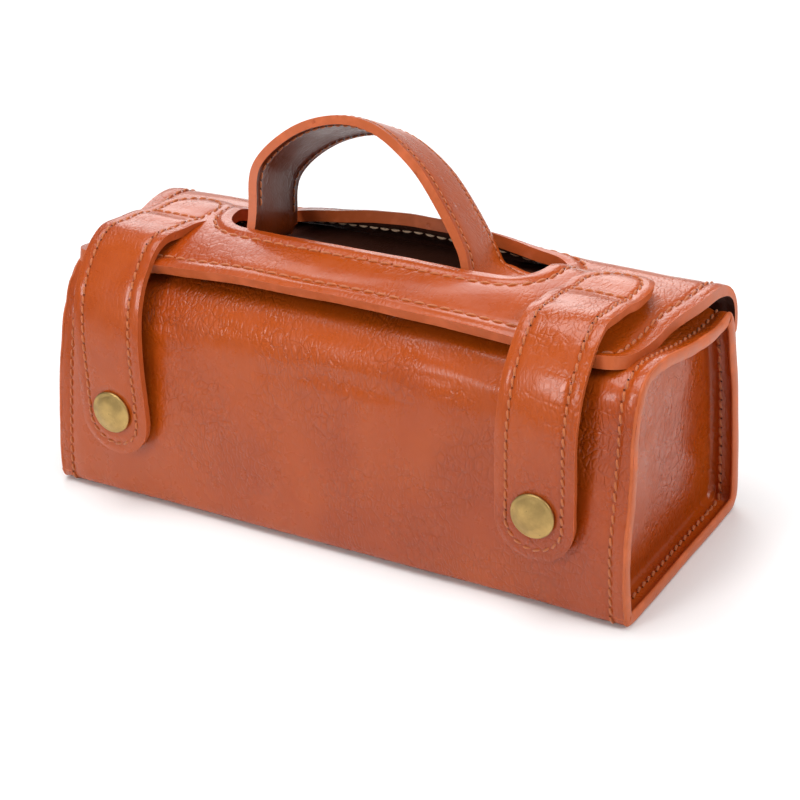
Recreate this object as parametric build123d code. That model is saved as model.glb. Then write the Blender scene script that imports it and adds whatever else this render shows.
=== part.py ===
from build123d import *
import os
from math import asin, atan2, cos, hypot, pi, sin, sqrt

# A small leather brush case: a box-shaped bag with recessed ends, a wide lid that is
# hinged along the back, a carrying handle that stands through a slot in the lid, and
# two straps that snap to the front.
# Millimetres. X runs along the length, -Y is the front, +Z is up.
# The origin is on the resting surface, under the middle of the case.

# ---- driving sizes: case ----
case_length = 220.0
case_depth = 85.0        # front foot to back wall
front_height = 82.0      # where the front wall would meet the top, before rounding
back_height = 77.0
front_lean = 9.5         # how far the front wall leans back over its height
front_bulge = 3.0        # how far the front wall stands proud of a straight line
bottom_radius = 6.0
shoulder_radius = 22.0
back_radius = 5.0

# ---- driving sizes: material ----
leather = 1.8            # the case leather
board = 1.2              # stiffener between the leather and the lining
lining = 0.8
end_recess = 9.0         # how deep the end panels sit inside the rims

# ---- driving sizes: mouth ----
mouth_length = 180.0
mouth_front = -21.0      # y of the front lip
mouth_back = -6.0        # y of the back lip, where the top panel starts

# ---- driving sizes: lid ----
lid_length = 206.0
lid_front = -30.0        # y of the front edge
lid_front_lift = 2.5     # top surface at the front edge, above the front height
lid_crown_lift = 10.0    # highest point of the top surface, above the front height
lid_side_lift = 3.8      # top surface at the side edges, above the front height
lid_corner_radius = 10.0
lid_skin = 1.6           # outer leather of the lid
lid_board = 1.2
lid_lining = 1.4
slot_length = 126.0
slot_width = 34.0
slot_corner = 10.0
slot_centre = 13.3       # y of the slot's middle
lid_margin = 6.0         # the stiffener stops this far from every edge

# ---- driving sizes: fold that hinges the lid ----
fold_radius = 3.4        # outside of the folded leather
fold_clearance = 0.5     # between the fold and the lid's back edge

# ---- driving sizes: straps ----
strap_spacing = 161.4    # between the two strap centre lines
strap_width = 27.0
strap_skin = 1.7
strap_backing = 1.5
strap_rear = 17.0        # y of the rounded rear end, on the lid
strap_seam = 2.0         # y of the cross seam: the strap is free in front of it
strap_arch = 2.6         # how far the free part rises in front of the seam
strap_bend = -28.0       # y where the tongue starts
strap_curl = 5.5         # how far the tongue bows out over the lid's front edge
strap_shoulder = 4.8     # gap between the tongue and the case below the shoulder
strap_hang = 0.6         # how far the hanging part bows out
strap_tip = 18.0         # z of the rounded lower end
strap_tip_gap = 2.0      # between the case and the tongue's lower end
strap_joint_gap = 0.6    # between the fixed part and the tongue
strap_bend_lift = 0.65   # gap between the lid and the strap where the tongue starts

# ---- driving sizes: snap fasteners ----
snap_height = 35.0       # z of the snap's centre
cap_radius = 7.4
cap_edge = 0.6           # upright rim of the cap
cap_rise = 1.3           # how far the dome rises above its rim
cap_stem_radius = 1.5
stud_radius = 2.5
stud_flange_radius = 5.2
stud_flange = 0.6
stud_engagement = 0.4    # how far the stud's head reaches into the strap
shank_radius = 1.2
socket_radius = 5.2
socket_clearance = 0.5   # between the stud and the socket's bore
socket_standoff = 1.2    # how far the socket stands out of the strap's back
snap_backer_radius = 5.5
snap_backer_thickness = 0.6

# ---- driving sizes: handle ----
handle_width = 27.0
handle_skin = 1.05
handle_core = 0.9
handle_foot_y = 8.3      # y of the line that the handle tilts about
handle_rest_tilt = 26.5  # degrees that it leans back when the lid is shut
handle_open_tilt = 49.0  # degrees that it leans back when the lid is open
handle_left = -50.5      # x of the upright leg
handle_right = 37.0      # x where the slanted leg meets the foot line
handle_leg = 20.0        # straight length of the upright leg
handle_corner = 25.0     # bend radius above the upright leg
handle_foot_gap = 0.6    # between the moving arch and its feet
foot_length = 20.0
foot_thickness = 2.2
backing_width = 24.0

# ---- worked-out sizes ----
half_length = case_length / 2
half_depth = case_depth / 2
end_face = half_length - end_recess
end_inner = end_face - leather - board - lining
wall = leather + board + lining
lid_thickness = lid_skin + lid_board + lid_lining
lid_front_height = front_height + lid_front_lift
lid_crown_height = front_height + lid_crown_lift
lid_side_height = front_height + lid_side_lift
strap_thickness = strap_skin + strap_backing
handle_thickness = 2 * handle_skin + handle_core
strap_x = strap_spacing / 2
fold_y = half_depth - fold_radius
fold_z = back_height + fold_radius - leather / 2
lid_back = fold_y - fold_radius - fold_clearance
lid_back_height = fold_z + fold_radius
handle_peak = handle_left + handle_corner
handle_rise = handle_leg + handle_corner
overshoot = 40.0         # how far long cutting tools run past what they cut
skim = 1.0               # how far short cutting tools run past a face

SIDES = {"left": -1, "right": 1}


# ---- helpers ----
def prism_x(profile, x_start, x_end):
    """A YZ profile carried along X."""
    return Pos(x_start, 0, 0) * extrude(Plane.YZ * profile, amount=x_end - x_start)


def prism_z(outline, z_start, z_end):
    """An XY outline carried along Z."""
    return Pos(0, 0, z_start) * extrude(outline, amount=z_end - z_start)


def block(x_range, y_range, z_range):
    """A box between two corners."""
    size = [high - low for low, high in (x_range, y_range, z_range)]
    middle = [(high + low) / 2 for low, high in (x_range, y_range, z_range)]
    return Pos(*middle) * Box(*size)


def disc_y(radius, thickness, x, y_front, z):
    """A disc whose axis is along Y, from y_front towards the back."""
    return Pos(x, y_front + thickness / 2, z) * Rot(90, 0, 0) * Cylinder(radius, thickness)


def circle_through(start, rise, end):
    """Centre and radius of the arc from start to end that bows out to the left by rise."""
    chord = hypot(end[0] - start[0], end[1] - start[1])
    radius = (chord * chord / 4 + rise * rise) / (2 * rise)
    middle = ((start[0] + end[0]) / 2, (start[1] + end[1]) / 2)
    normal = (-(end[1] - start[1]) / chord, (end[0] - start[0]) / chord)
    drop = radius - rise
    return (middle[0] - normal[0] * drop, middle[1] - normal[1] * drop), radius


def save(name, shape):
    """Write one named sub-part."""
    shape.label = name
    export_step(shape, os.path.join("parts", name + ".step"))


# ---- the case's cross-section ----
front_corner = (-half_depth + front_lean, front_height)


def front_wall_y(z):
    """Y of the outside of the front wall at a height."""
    centre, radius = circle_through((-half_depth, 0), front_bulge, front_corner)
    return centre[0] - sqrt(radius * radius - (z - centre[1]) ** 2)


def top_panel_z(y):
    """Z of the outside of the top at a depth."""
    share = (y - front_corner[0]) / (half_depth - front_corner[0])
    return front_height + (back_height - front_height) * share


def full_section():
    """The outside outline: flat base, bulging front, rounded shoulder, upright back."""
    half_chord_z = front_height / 2
    with BuildSketch() as sketch:
        with BuildLine():
            Line((half_depth, 0), (-half_depth, 0))
            ThreePointArc((-half_depth, 0), (front_wall_y(half_chord_z), half_chord_z), front_corner)
            Line(front_corner, (half_depth, back_height))
            Line((half_depth, back_height), (half_depth, 0))
        make_face()
    corners = {
        (-half_depth, 0): bottom_radius,
        (half_depth, 0): bottom_radius,
        front_corner: shoulder_radius,
        (half_depth, back_height): back_radius,
    }
    face = sketch.sketch
    for place, radius in corners.items():
        nearest = min(face.vertices(), key=lambda v: hypot(v.X - place[0], v.Y - place[1]))
        face = fillet(nearest, radius)
    return face


SECTION = full_section()


def section(inset):
    """The outline moved inwards by an inset."""
    if inset == 0:
        return SECTION
    return offset(SECTION, amount=-inset, kind=Kind.INTERSECTION)


def shell(outer_inset, inner_inset, half):
    """The tube between two insets, from end to end of the case."""
    return prism_x(section(outer_inset), -half, half) - prism_x(section(inner_inset), -half, half)


# ---- case pieces ----
def mouth_cutter():
    """The mouth, a rounded slot in front of the top panel."""
    width = mouth_back - mouth_front
    outline = RectangleRounded(mouth_length, width + overshoot, bottom_radius)
    cutter = Pos(0, mouth_front + (width + overshoot) / 2, 0) * prism_z(outline, half_depth, front_height + skim)
    return cutter & block((-half_length, half_length), (mouth_front, mouth_back), (0, front_height + skim))


def top_region():
    """The part of the tube that belongs to the top panel."""
    return block((-half_length, half_length), (mouth_back, half_depth - leather),
                 (half_depth, front_height + skim))


def shank_holes():
    """Bores through the front wall for both snap shanks."""
    depth = overshoot / 2
    y = front_wall_y(snap_height) - depth / 2
    return [disc_y(shank_radius, depth, side * strap_x, y, snap_height) for side in SIDES.values()]


def body_wrap():
    """Front, base and back in one sheet of leather, with the two end strips of the top."""
    wrap = shell(0, leather, half_length) - top_region() - mouth_cutter()
    for hole in shank_holes():
        wrap -= hole
    return wrap


def top_panel():
    """The leather behind the mouth, which carries the handle."""
    return shell(0, leather, half_length) & top_region()


def boards():
    """The stiffeners of the front, the base and the back."""
    tube = shell(leather, leather + board, end_inner)
    span = (-end_inner, end_inner)
    low = bottom_radius
    pieces = {
        "front_board": tube & block(span, (-half_depth, -half_depth / 2),
                                    (low, front_height - shoulder_radius)),
        "bottom_board": tube & block(span, (low - half_depth, half_depth - low), (0, low)),
        "back_board": tube & block(span, (half_depth / 2, half_depth),
                                   (low, back_height - back_radius)),
    }
    for hole in shank_holes():
        pieces["front_board"] -= hole
    return pieces


def body_lining():
    """The lining of the front, base, back and top."""
    tube = shell(leather + board, wall, end_inner) - mouth_cutter()
    for hole in shank_holes():
        tube -= hole
    return tube


def end_panel(side):
    """A recessed end with its edge turned out to line the rim."""
    plate = prism_x(section(leather), end_face - leather, end_face)
    flange = prism_x(section(leather), end_face, half_length)
    flange -= prism_x(section(2 * leather), end_face, half_length)
    panel = plate + flange
    return panel if side > 0 else mirror(panel, about=Plane.YZ)


def end_layer(side, start, thickness):
    """A flat layer behind an end panel."""
    layer = prism_x(section(leather), start, start + thickness)
    return layer if side > 0 else mirror(layer, about=Plane.YZ)


def foot_range(side):
    """The X range of a handle foot, which turns outwards from its leg."""
    if side < 0:
        return handle_left - foot_length, handle_left + handle_thickness / 2
    return handle_right - handle_thickness / 2, handle_right + foot_length


def handle_foot(side):
    """One end of the handle strap, laid flat on the top panel and sewn down."""
    tab = prism_x(section(-foot_thickness), *foot_range(side)) - prism_x(SECTION, *foot_range(side))
    return tab & block((-half_length, half_length),
                       (handle_foot_y - handle_width / 2, handle_foot_y + handle_width / 2),
                       (half_depth, front_height + foot_thickness))


def handle_backing():
    """The strip under the top panel that the handle is sewn through."""
    tube = shell(leather, leather + board, end_inner)
    return tube & block((foot_range(-1)[0], foot_range(1)[1]),
                        (handle_foot_y - backing_width / 2, handle_foot_y + backing_width / 2),
                        (half_depth, front_height))


def snap_stud(side):
    """Flange, stud and shank of the lower half of a snap."""
    x = side * strap_x
    face = front_wall_y(snap_height)
    flange = disc_y(stud_flange_radius, stud_flange + leather, x, face - stud_flange, snap_height)
    solid_case = prism_x(SECTION, -half_length, half_length)
    flange -= solid_case
    head = strap_back_y(snap_height) - stud_engagement
    stem = disc_y(stud_radius, face - stud_flange - head, x, head, snap_height)
    shank = disc_y(shank_radius, stud_flange + wall, x, face - stud_flange, snap_height)
    return flange + stem + shank


def snap_backer(side):
    """The washer inside the front wall that the shank is set over."""
    x = side * strap_x
    inner_face = front_wall_y(snap_height) + wall
    washer = disc_y(snap_backer_radius, 2 * snap_backer_thickness, x,
                    inner_face - snap_backer_thickness, snap_height)
    washer &= prism_x(section(wall), -end_inner, end_inner)
    shank = disc_y(shank_radius, stud_flange + wall, x,
                   front_wall_y(snap_height) - stud_flange, snap_height)
    return washer - shank


def fold_piece():
    """The leather that bends round the hinge line, from the back wall to the lid."""
    ring = Circle(fold_radius) - Circle(fold_radius - leather)
    band = prism_x(Pos(fold_y, fold_z) * ring, -lid_length / 2, lid_length / 2)
    band &= block((-half_length, half_length), (0, half_depth + skim),
                  (fold_z - leather, lid_back_height + skim))
    return band - prism_x(SECTION, -half_length, half_length)


# ---- lid ----
def lid_profile_circle():
    """Centre and radius of the lid's top surface, seen from the side."""
    front = (lid_front, lid_front_height)
    back = (lid_back, lid_back_height)
    rise = lid_crown_height - (lid_front_height + lid_back_height) / 2
    return circle_through(front, rise, back)


def lid_cross_circle():
    """Centre height and radius of the lid's top surface, seen from the front."""
    rise = lid_crown_height - lid_side_height
    radius = (lid_length * lid_length / 4 + rise * rise) / (2 * rise)
    return lid_crown_height - radius, radius


def lid_top_z(x, y):
    """Height of the lid's top surface."""
    centre, radius = lid_profile_circle()
    along = centre[1] + sqrt(radius * radius - (y - centre[0]) ** 2)
    cross_z, cross_radius = lid_cross_circle()
    across = cross_z + sqrt(cross_radius * cross_radius - x * x)
    return min(along, across)


def under_lid_surface(raised):
    """Everything below the lid's top surface, raised or lowered by a distance."""
    centre, radius = lid_profile_circle()
    depth_roll = prism_x(Pos(*centre) * Circle(radius), -half_length, half_length)
    cross_z, cross_radius = lid_cross_circle()
    length_roll = Pos(0, 0, cross_z) * Rot(90, 0, 0) * Cylinder(cross_radius, case_length)
    low = back_height - overshoot
    keep = block((-half_length, half_length), (-case_depth, half_depth),
                 (low, front_height + overshoot))
    return Pos(0, 0, raised) * (depth_roll & length_roll & keep)


def lid_layer(top, bottom):
    """The sheet between two depths below the lid's top surface."""
    return under_lid_surface(-top) - under_lid_surface(-bottom)


def lid_outline():
    """The lid seen from above, rounded at the front corners."""
    depth = lid_back - lid_front
    shape = Pos(0, (lid_back + lid_front) / 2) * Rectangle(lid_length, depth)
    front_points = [v for v in shape.vertices() if v.Y < 0]
    return fillet(front_points, lid_corner_radius)


def slot_outline(margin):
    """The handle slot seen from above, grown by a margin."""
    return Pos(0, slot_centre) * RectangleRounded(
        slot_length + 2 * margin, slot_width + 2 * margin, slot_corner + margin)


def lid_pieces():
    """Outer leather, stiffener and lining of the lid."""
    low = back_height - overshoot
    high = lid_crown_height + overshoot
    outline = prism_z(lid_outline() - slot_outline(0), low, high)
    core_outline = offset(lid_outline(), amount=-lid_margin, kind=Kind.INTERSECTION)
    core = prism_z(core_outline - slot_outline(lid_margin), low, high)
    skin = lid_layer(0, lid_skin) & outline
    stiffener = lid_layer(lid_skin, lid_skin + lid_board) & core
    under = lid_layer(lid_skin, lid_thickness) & outline
    return {"lid_leather": skin, "lid_board": stiffener, "lid_lining": under - stiffener}


# ---- straps ----
def strap_points():
    """Where the strap's back face bends, in the YZ plane, from the tip up to the seam."""
    shoulder_z = front_height - shoulder_radius
    return {
        "tip": (front_wall_y(strap_tip) - strap_tip_gap, strap_tip),
        "shoulder": (front_wall_y(shoulder_z) - strap_shoulder, shoulder_z),
        "bend": (strap_bend, lid_top_z(0, strap_bend) + strap_bend_lift),
        "seam": (strap_seam, lid_top_z(strap_x, strap_seam)),
    }


def strap_back_y(z):
    """Y of the back of the hanging part of a strap at a height."""
    points = strap_points()
    centre, radius = circle_through(points["tip"], strap_hang, points["shoulder"])
    return centre[0] - sqrt(radius * radius - (z - centre[1]) ** 2)


def polar(centre, radius, angle):
    """A point at a radius and an angle in radians round a centre."""
    return centre[0] + radius * cos(angle), centre[1] + radius * sin(angle)


def arc_band(start, rise, end, near, far):
    """The band between two distances outside the arc that bows out to the left by rise."""
    centre, radius = circle_through(start, rise, end)
    first = atan2(start[1] - centre[1], start[0] - centre[0])
    last = atan2(end[1] - centre[1], end[0] - centre[0])
    if last > first:
        last -= 2 * pi
    angles = (first, (first + last) / 2, last)
    inner = [polar(centre, radius + near, angle) for angle in angles]
    outer = [polar(centre, radius + far, angle) for angle in reversed(angles)]
    with BuildSketch() as sketch:
        with BuildLine():
            ThreePointArc(*inner)
            Line(inner[-1], outer[0])
            ThreePointArc(*outer)
            Line(outer[-1], inner[0])
        make_face()
    return sketch.sketch


def strap_span(side):
    """The X range of a strap."""
    return side * strap_x - strap_width / 2, side * strap_x + strap_width / 2


def strap_anchor(side):
    """The fixed part of a strap: the rounded patch sewn to the lid and the raised arch."""
    x = side * strap_x
    points = strap_points()
    radius = strap_width / 2
    straight = strap_rear - radius - strap_seam
    outline = Pos(x, strap_rear - radius) * Circle(radius)
    outline += Pos(x, strap_seam + straight / 2) * Rectangle(strap_width, straight)
    high = lid_crown_height + overshoot
    patch = lid_layer(-strap_thickness, 0) & prism_z(outline, back_height, high)
    patch &= block((-half_length, half_length), (strap_seam, half_depth), (back_height, high))
    band = arc_band(points["bend"], strap_arch, points["seam"], 0, strap_thickness)
    arch = prism_x(band, *strap_span(side))
    arch &= block((-half_length, half_length), (strap_bend, strap_seam), (back_height, high))
    return patch + (arch - under_lid_surface(0))


def strap_layer(side, near, far):
    """The tongue between two distances from its back face, with its rounded tip."""
    x = side * strap_x
    points = strap_points()
    curl = arc_band(points["shoulder"], strap_curl, points["bend"], near, far)
    drop = arc_band(points["tip"], strap_hang, points["shoulder"], near, far)
    tongue = prism_x(curl, *strap_span(side)) + prism_x(drop, *strap_span(side))
    radius = strap_width / 2
    top = lid_crown_height
    tip_centre = strap_tip + radius
    tip = Rot(90, 0, 0) * Cylinder(radius, half_depth)
    shape = Pos(x, -half_depth, tip_centre) * tip
    shape += block(strap_span(side), (-case_depth, strap_bend - strap_joint_gap), (tip_centre, top))
    return tongue & shape


def strap_pieces(side, label):
    """Skin, backing, cap and socket of one strap's tongue."""
    x = side * strap_x
    skin = strap_layer(side, strap_backing, strap_thickness)
    backing = strap_layer(side, 0, strap_thickness) - skin
    back_face = strap_back_y(snap_height)
    front_face = back_face - strap_thickness
    floor_front = back_face - strap_backing
    bore_radius = stud_radius + socket_clearance
    bore_front = back_face - stud_engagement - socket_clearance
    socket_back = back_face + socket_standoff
    socket = disc_y(socket_radius, socket_back - floor_front, x, floor_front, snap_height)
    backing -= socket
    skin -= socket
    socket -= disc_y(bore_radius, socket_back - bore_front, x, bore_front, snap_height)
    stem = disc_y(cap_stem_radius, strap_thickness, x, front_face, snap_height)
    skin -= stem
    dome_radius = (cap_radius ** 2 + cap_rise ** 2) / (2 * cap_rise)
    dome = Pos(x, front_face - cap_edge - cap_rise + dome_radius, snap_height) * Sphere(dome_radius)
    barrel = disc_y(cap_radius, cap_edge + cap_rise + strap_skin / 2, x,
                    front_face - cap_edge - cap_rise, snap_height)
    cap = (dome & barrel) + (stem & block(strap_span(side), (front_face, floor_front), (0, front_height)))
    cap -= skin + backing
    return {
        label + "_strap_skin": skin,
        label + "_strap_backing": backing,
        label + "_snap_cap": cap,
        label + "_snap_socket": socket,
    }


# ---- handle ----
def handle_edge(distance, low):
    """One edge of the handle seen from the front: upright leg, bend and long sweep."""
    sweep = ((handle_right - handle_peak) ** 2 + handle_rise ** 2) / (2 * handle_rise)
    bend_centre = (handle_peak, handle_leg)
    sweep_centre = (handle_peak, handle_rise - sweep)
    bend = handle_corner + distance
    sweep += distance
    last = asin((low - sweep_centre[1]) / sweep)
    return {
        "start": (handle_left - distance, low),
        "leg": (handle_left - distance, handle_leg),
        "bend": polar(bend_centre, bend, 3 * pi / 4),
        "peak": (handle_peak, handle_rise + distance),
        "sweep": polar(sweep_centre, sweep, (pi / 2 + last) / 2),
        "end": polar(sweep_centre, sweep, last),
    }


def handle_profile(near, far):
    """The handle between two distances outside its centre line."""
    low = -handle_leg
    a = handle_edge(near, low)
    b = handle_edge(far, low)
    with BuildSketch() as sketch:
        with BuildLine():
            for edge in (a, b):
                Line(edge["start"], edge["leg"])
                ThreePointArc(edge["leg"], edge["bend"], edge["peak"])
                ThreePointArc(edge["peak"], edge["sweep"], edge["end"])
            Line(a["start"], b["start"])
            Line(a["end"], b["end"])
        make_face()
    return sketch.sketch


def handle_layer(near, far):
    """One ply of the handle, leaning back, cut clear of its feet over its whole tilt."""
    ply = extrude(Plane.XZ * handle_profile(near, far), amount=handle_width / 2, both=True)
    span = case_length
    floor_height = foot_thickness + handle_foot_gap + top_panel_z(-handle_width / 2) - top_panel_z(0)
    below = block((-span, span), (-span, span), (-span, floor_height))
    for tilt in (handle_rest_tilt, handle_open_tilt):
        ply -= Rot(tilt, 0, 0) * below
    return Pos(0, handle_foot_y, top_panel_z(handle_foot_y)) * Rot(-handle_rest_tilt, 0, 0) * ply


def handle_pieces():
    """Outer leather, core and inner leather of the handle."""
    half = handle_thickness / 2
    return {
        "handle_outer": handle_layer(half - handle_skin, half),
        "handle_core": handle_layer(handle_skin - half, half - handle_skin),
        "handle_inner": handle_layer(-half, handle_skin - half),
    }


# ---- the whole case ----
def all_pieces():
    """Every sub-part by name."""
    pieces = {"body_wrap": body_wrap(), "top_panel": top_panel(), "body_lining": body_lining()}
    pieces.update(boards())
    pieces["handle_backing"] = handle_backing()
    pieces["hinge_fold"] = fold_piece()
    pieces.update(lid_pieces())
    pieces.update(handle_pieces())
    for label, side in SIDES.items():
        pieces[label + "_end_panel"] = end_panel(side)
        pieces[label + "_end_board"] = end_layer(side, end_face - leather - board, board)
        pieces[label + "_end_lining"] = end_layer(side, end_inner, lining)
        pieces[label + "_handle_foot"] = handle_foot(side)
        pieces[label + "_snap_stud"] = snap_stud(side)
        pieces[label + "_snap_backer"] = snap_backer(side)
        pieces[label + "_strap_anchor"] = strap_anchor(side)
        pieces.update(strap_pieces(side, label))
    return pieces


os.makedirs("parts", exist_ok=True)
for piece_name, piece_shape in all_pieces().items():
    save(piece_name, piece_shape)
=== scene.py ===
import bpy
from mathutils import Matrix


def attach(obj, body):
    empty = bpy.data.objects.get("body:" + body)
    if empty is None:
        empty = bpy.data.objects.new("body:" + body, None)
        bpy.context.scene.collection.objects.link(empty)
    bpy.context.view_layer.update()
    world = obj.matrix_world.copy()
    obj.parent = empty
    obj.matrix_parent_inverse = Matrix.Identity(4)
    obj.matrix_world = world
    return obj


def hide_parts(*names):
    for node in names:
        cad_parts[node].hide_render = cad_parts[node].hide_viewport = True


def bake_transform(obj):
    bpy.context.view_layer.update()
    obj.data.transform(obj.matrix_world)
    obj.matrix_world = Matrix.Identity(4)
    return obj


bl_info = {
    "name": "Leather brush case",
    "version": (1, 0, 0),
    "blender": (4, 5, 0),
    "location": "3D View > Sidebar > Brush case",
    "description": "Builds a small leather brush case round its packed frame",
    "category": "Object",
}

from bisect import bisect_right
from math import cos, exp, hypot, pi, radians, sin, sqrt

import bpy
import bmesh
from bpy.props import FloatProperty, FloatVectorProperty, PointerProperty
from mathutils import Matrix, Vector, noise

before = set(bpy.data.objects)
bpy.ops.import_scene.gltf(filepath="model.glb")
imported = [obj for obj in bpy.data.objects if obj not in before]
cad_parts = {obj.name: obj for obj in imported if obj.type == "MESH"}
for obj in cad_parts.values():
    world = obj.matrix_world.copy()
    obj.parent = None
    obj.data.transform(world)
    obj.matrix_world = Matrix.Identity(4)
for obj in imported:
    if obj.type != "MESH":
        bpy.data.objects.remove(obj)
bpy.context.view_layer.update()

MM = 0.001
SIDES = {"left": -1, "right": 1}

# ---- the case's outline at three places along its length, as (y, z) in millimetres ----
# Each runs up the front, over the top, down the back and under the base, key for key.
MIDDLE_OUTLINE = (
    (-42.4, 4.0), (-42.6, 14.0), (-42.0, 28.0), (-40.6, 42.0), (-38.8, 55.0), (-37.3, 63.0),
    (-34.9, 69.8), (-31.3, 74.6), (-26.7, 78.0), (-20.5, 80.3), (-13.0, 80.9), (-6.0, 80.4),
    (8.0, 79.3), (22.0, 78.4), (34.0, 77.6), (40.4, 76.0), (42.4, 71.5), (42.6, 58.0),
    (42.7, 42.0), (42.6, 26.0), (42.5, 12.0), (41.0, 2.4), (35.0, 0.0), (15.0, 0.0),
    (-15.0, 0.0), (-33.0, 0.0), (-40.0, 1.0),
)
RIGHT_OUTLINE = (
    (-42.6, 4.0), (-43.4, 14.0), (-43.3, 28.0), (-40.2, 42.0), (-37.4, 55.0), (-36.0, 63.0),
    (-34.8, 69.8), (-33.0, 74.8), (-29.6, 78.4), (-23.5, 80.6), (-13.5, 80.4), (-6.0, 79.0),
    (8.0, 75.6), (21.0, 73.6), (30.5, 73.7), (35.4, 74.2), (37.8, 69.0), (40.4, 58.0),
    (42.3, 42.0), (42.9, 26.0), (42.9, 12.0), (42.0, 2.4), (36.0, 0.1), (15.0, 0.1),
    (-15.0, 0.1), (-33.0, 0.1), (-40.4, 0.8),
)
LEFT_OUTLINE = (
    (-42.0, 4.0), (-41.2, 14.0), (-38.6, 28.0), (-35.4, 42.0), (-32.2, 55.0), (-29.6, 61.5),
    (-27.2, 66.4), (-24.6, 70.2), (-21.0, 73.6), (-17.6, 75.6), (-12.6, 76.8), (-6.0, 76.8),
    (8.0, 75.2), (21.0, 73.6), (30.5, 73.8), (35.6, 74.2), (38.0, 69.0), (40.6, 58.0),
    (42.4, 42.0), (43.0, 26.0), (43.0, 12.0), (42.0, 2.4), (36.0, 0.1), (15.0, 0.1),
    (-15.0, 0.1), (-33.0, 0.1), (-40.0, 0.8),
)
MOUTH_KEYS = (9, 11)        # the keys of the mouth's front and back lips
MOUTH_REACH = 90.0          # half the mouth's length
KEY_STEPS = 4               # rows between two keys
HALF_LENGTH = 110.0
END_BLEND_START = 72.0      # the end outlines take over between here and the rims
END_FACE = 101.0            # where the recessed ends lie
RIM_SEAM = 5.0              # stitch line in from the rims
RIM_WAVE_START = 106.0      # the rims' unevenness starts here
LID_SHADE_REACH = 99.0      # half the length of the painted shade on the top under the lid


def property_groups():
    """The property group that holds the whole design's settings."""
    return bpy.context.scene.brush_case


class BrushCaseSettings(bpy.types.PropertyGroup):
    """Sizes and colours of the leather brush case."""

    wrap_thickness: FloatProperty(
        name="Case leather", description="Thickness of the case leather, millimetres",
        default=1.8, min=0.8, max=3.0)
    lid_thickness: FloatProperty(
        name="Lid", description="Thickness of the whole lid, millimetres",
        default=4.2, min=2.0, max=6.0)
    strap_thickness: FloatProperty(
        name="Strap", description="Thickness of both straps, millimetres",
        default=3.2, min=1.5, max=4.5)
    handle_thickness: FloatProperty(
        name="Handle", description="Thickness of the handle, millimetres",
        default=3.0, min=1.5, max=4.5)
    stitch_pitch: FloatProperty(
        name="Stitch pitch", description="Distance from stitch to stitch, millimetres",
        default=3.5, min=2.0, max=6.0)
    thread_radius: FloatProperty(
        name="Thread radius", description="Half the thickness of the thread, millimetres",
        default=0.47, min=0.15, max=0.8)
    rim_wave: FloatProperty(
        name="Rim wave", description="How uneven the rims are, millimetres",
        default=0.5, min=0.0, max=2.0)
    leather: FloatVectorProperty(
        name="Leather", description="Colour of the lit leather", subtype="COLOR",
        default=(0.42, 0.066, 0.003), min=0.0, max=1.0)
    leather_dark: FloatVectorProperty(
        name="Leather shade", description="Colour of the darker clouds in the leather",
        subtype="COLOR", default=(0.31, 0.036, 0.0012), min=0.0, max=1.0)
    painted_edge: FloatVectorProperty(
        name="Painted edge", description="Colour of the painted cut edges", subtype="COLOR",
        default=(0.48, 0.098, 0.022), min=0.0, max=1.0)
    thread: FloatVectorProperty(
        name="Thread", description="Colour of the sewing thread", subtype="COLOR",
        default=(0.49, 0.120, 0.024), min=0.0, max=1.0)
    lining: FloatVectorProperty(
        name="Lining", description="Colour of the lining", subtype="COLOR",
        default=(0.045, 0.014, 0.008), min=0.0, max=1.0)
    brass: FloatVectorProperty(
        name="Brass", description="Colour of the bright brass", subtype="COLOR",
        default=(0.50, 0.33, 0.12), min=0.0, max=1.0)


# ---- small mathematics ----
def smooth(value):
    """A smooth step from 0 to 1."""
    value = max(0.0, min(1.0, value))
    return value * value * (3 - 2 * value)


def bump(distance, width):
    """A bell curve of height 1."""
    return exp(-(distance / width) ** 2)


def waves(x, y, z, seed=0.0):
    """Slow, repeatable unevenness from -1 to 1."""
    return noise.noise(Vector((x + seed, y - seed, z + 2 * seed)))


def hermite(a, b, c, d, share):
    """A smooth curve's point between b and c, with neighbours a and d."""
    square = share * share
    cube = square * share
    return 0.5 * (2 * b + (c - a) * share + (2 * a - 5 * b + 4 * c - d) * square
                  + (3 * b - a - 3 * c + d) * cube)


def spline(points, steps=10):
    """Dense points of an open smooth curve through points."""
    line = [Vector(point) for point in points]
    padded = [2 * line[0] - line[1]] + line + [2 * line[-1] - line[-2]]
    dense = []
    for i in range(1, len(padded) - 2):
        for k in range(steps):
            dense.append(hermite(*padded[i - 1:i + 3], k / steps))
    dense.append(line[-1])
    return dense


class Route:
    """A smooth curve that can be walked by length."""

    def __init__(self, points, steps=10):
        self.points = spline(points, steps)
        self.runs = [0.0]
        for a, b in zip(self.points, self.points[1:]):
            self.runs.append(self.runs[-1] + (b - a).length)
        self.length = self.runs[-1]

    def at(self, run):
        """The point at a length, carried straight on past both ends."""
        i = max(0, min(len(self.points) - 2, bisect_right(self.runs, run) - 1))
        a, b = self.points[i], self.points[i + 1]
        return a + (b - a) * ((run - self.runs[i]) / (self.runs[i + 1] - self.runs[i]))

    def along(self, run, reach=0.8):
        """The direction at a length."""
        low, high = max(0.0, run - reach), min(self.length, run + reach)
        return (self.at(high) - self.at(low)).normalized()


# ---- mesh making ----
def clear_selection():
    """Object mode with nothing selected."""
    if bpy.context.object and bpy.context.object.mode != "OBJECT":
        bpy.ops.object.mode_set(mode="OBJECT")
    bpy.ops.object.select_all(action="DESELECT")


def only(piece):
    """Select one piece and make it active."""
    clear_selection()
    piece.select_set(True)
    bpy.context.view_layer.objects.active = piece


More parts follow.
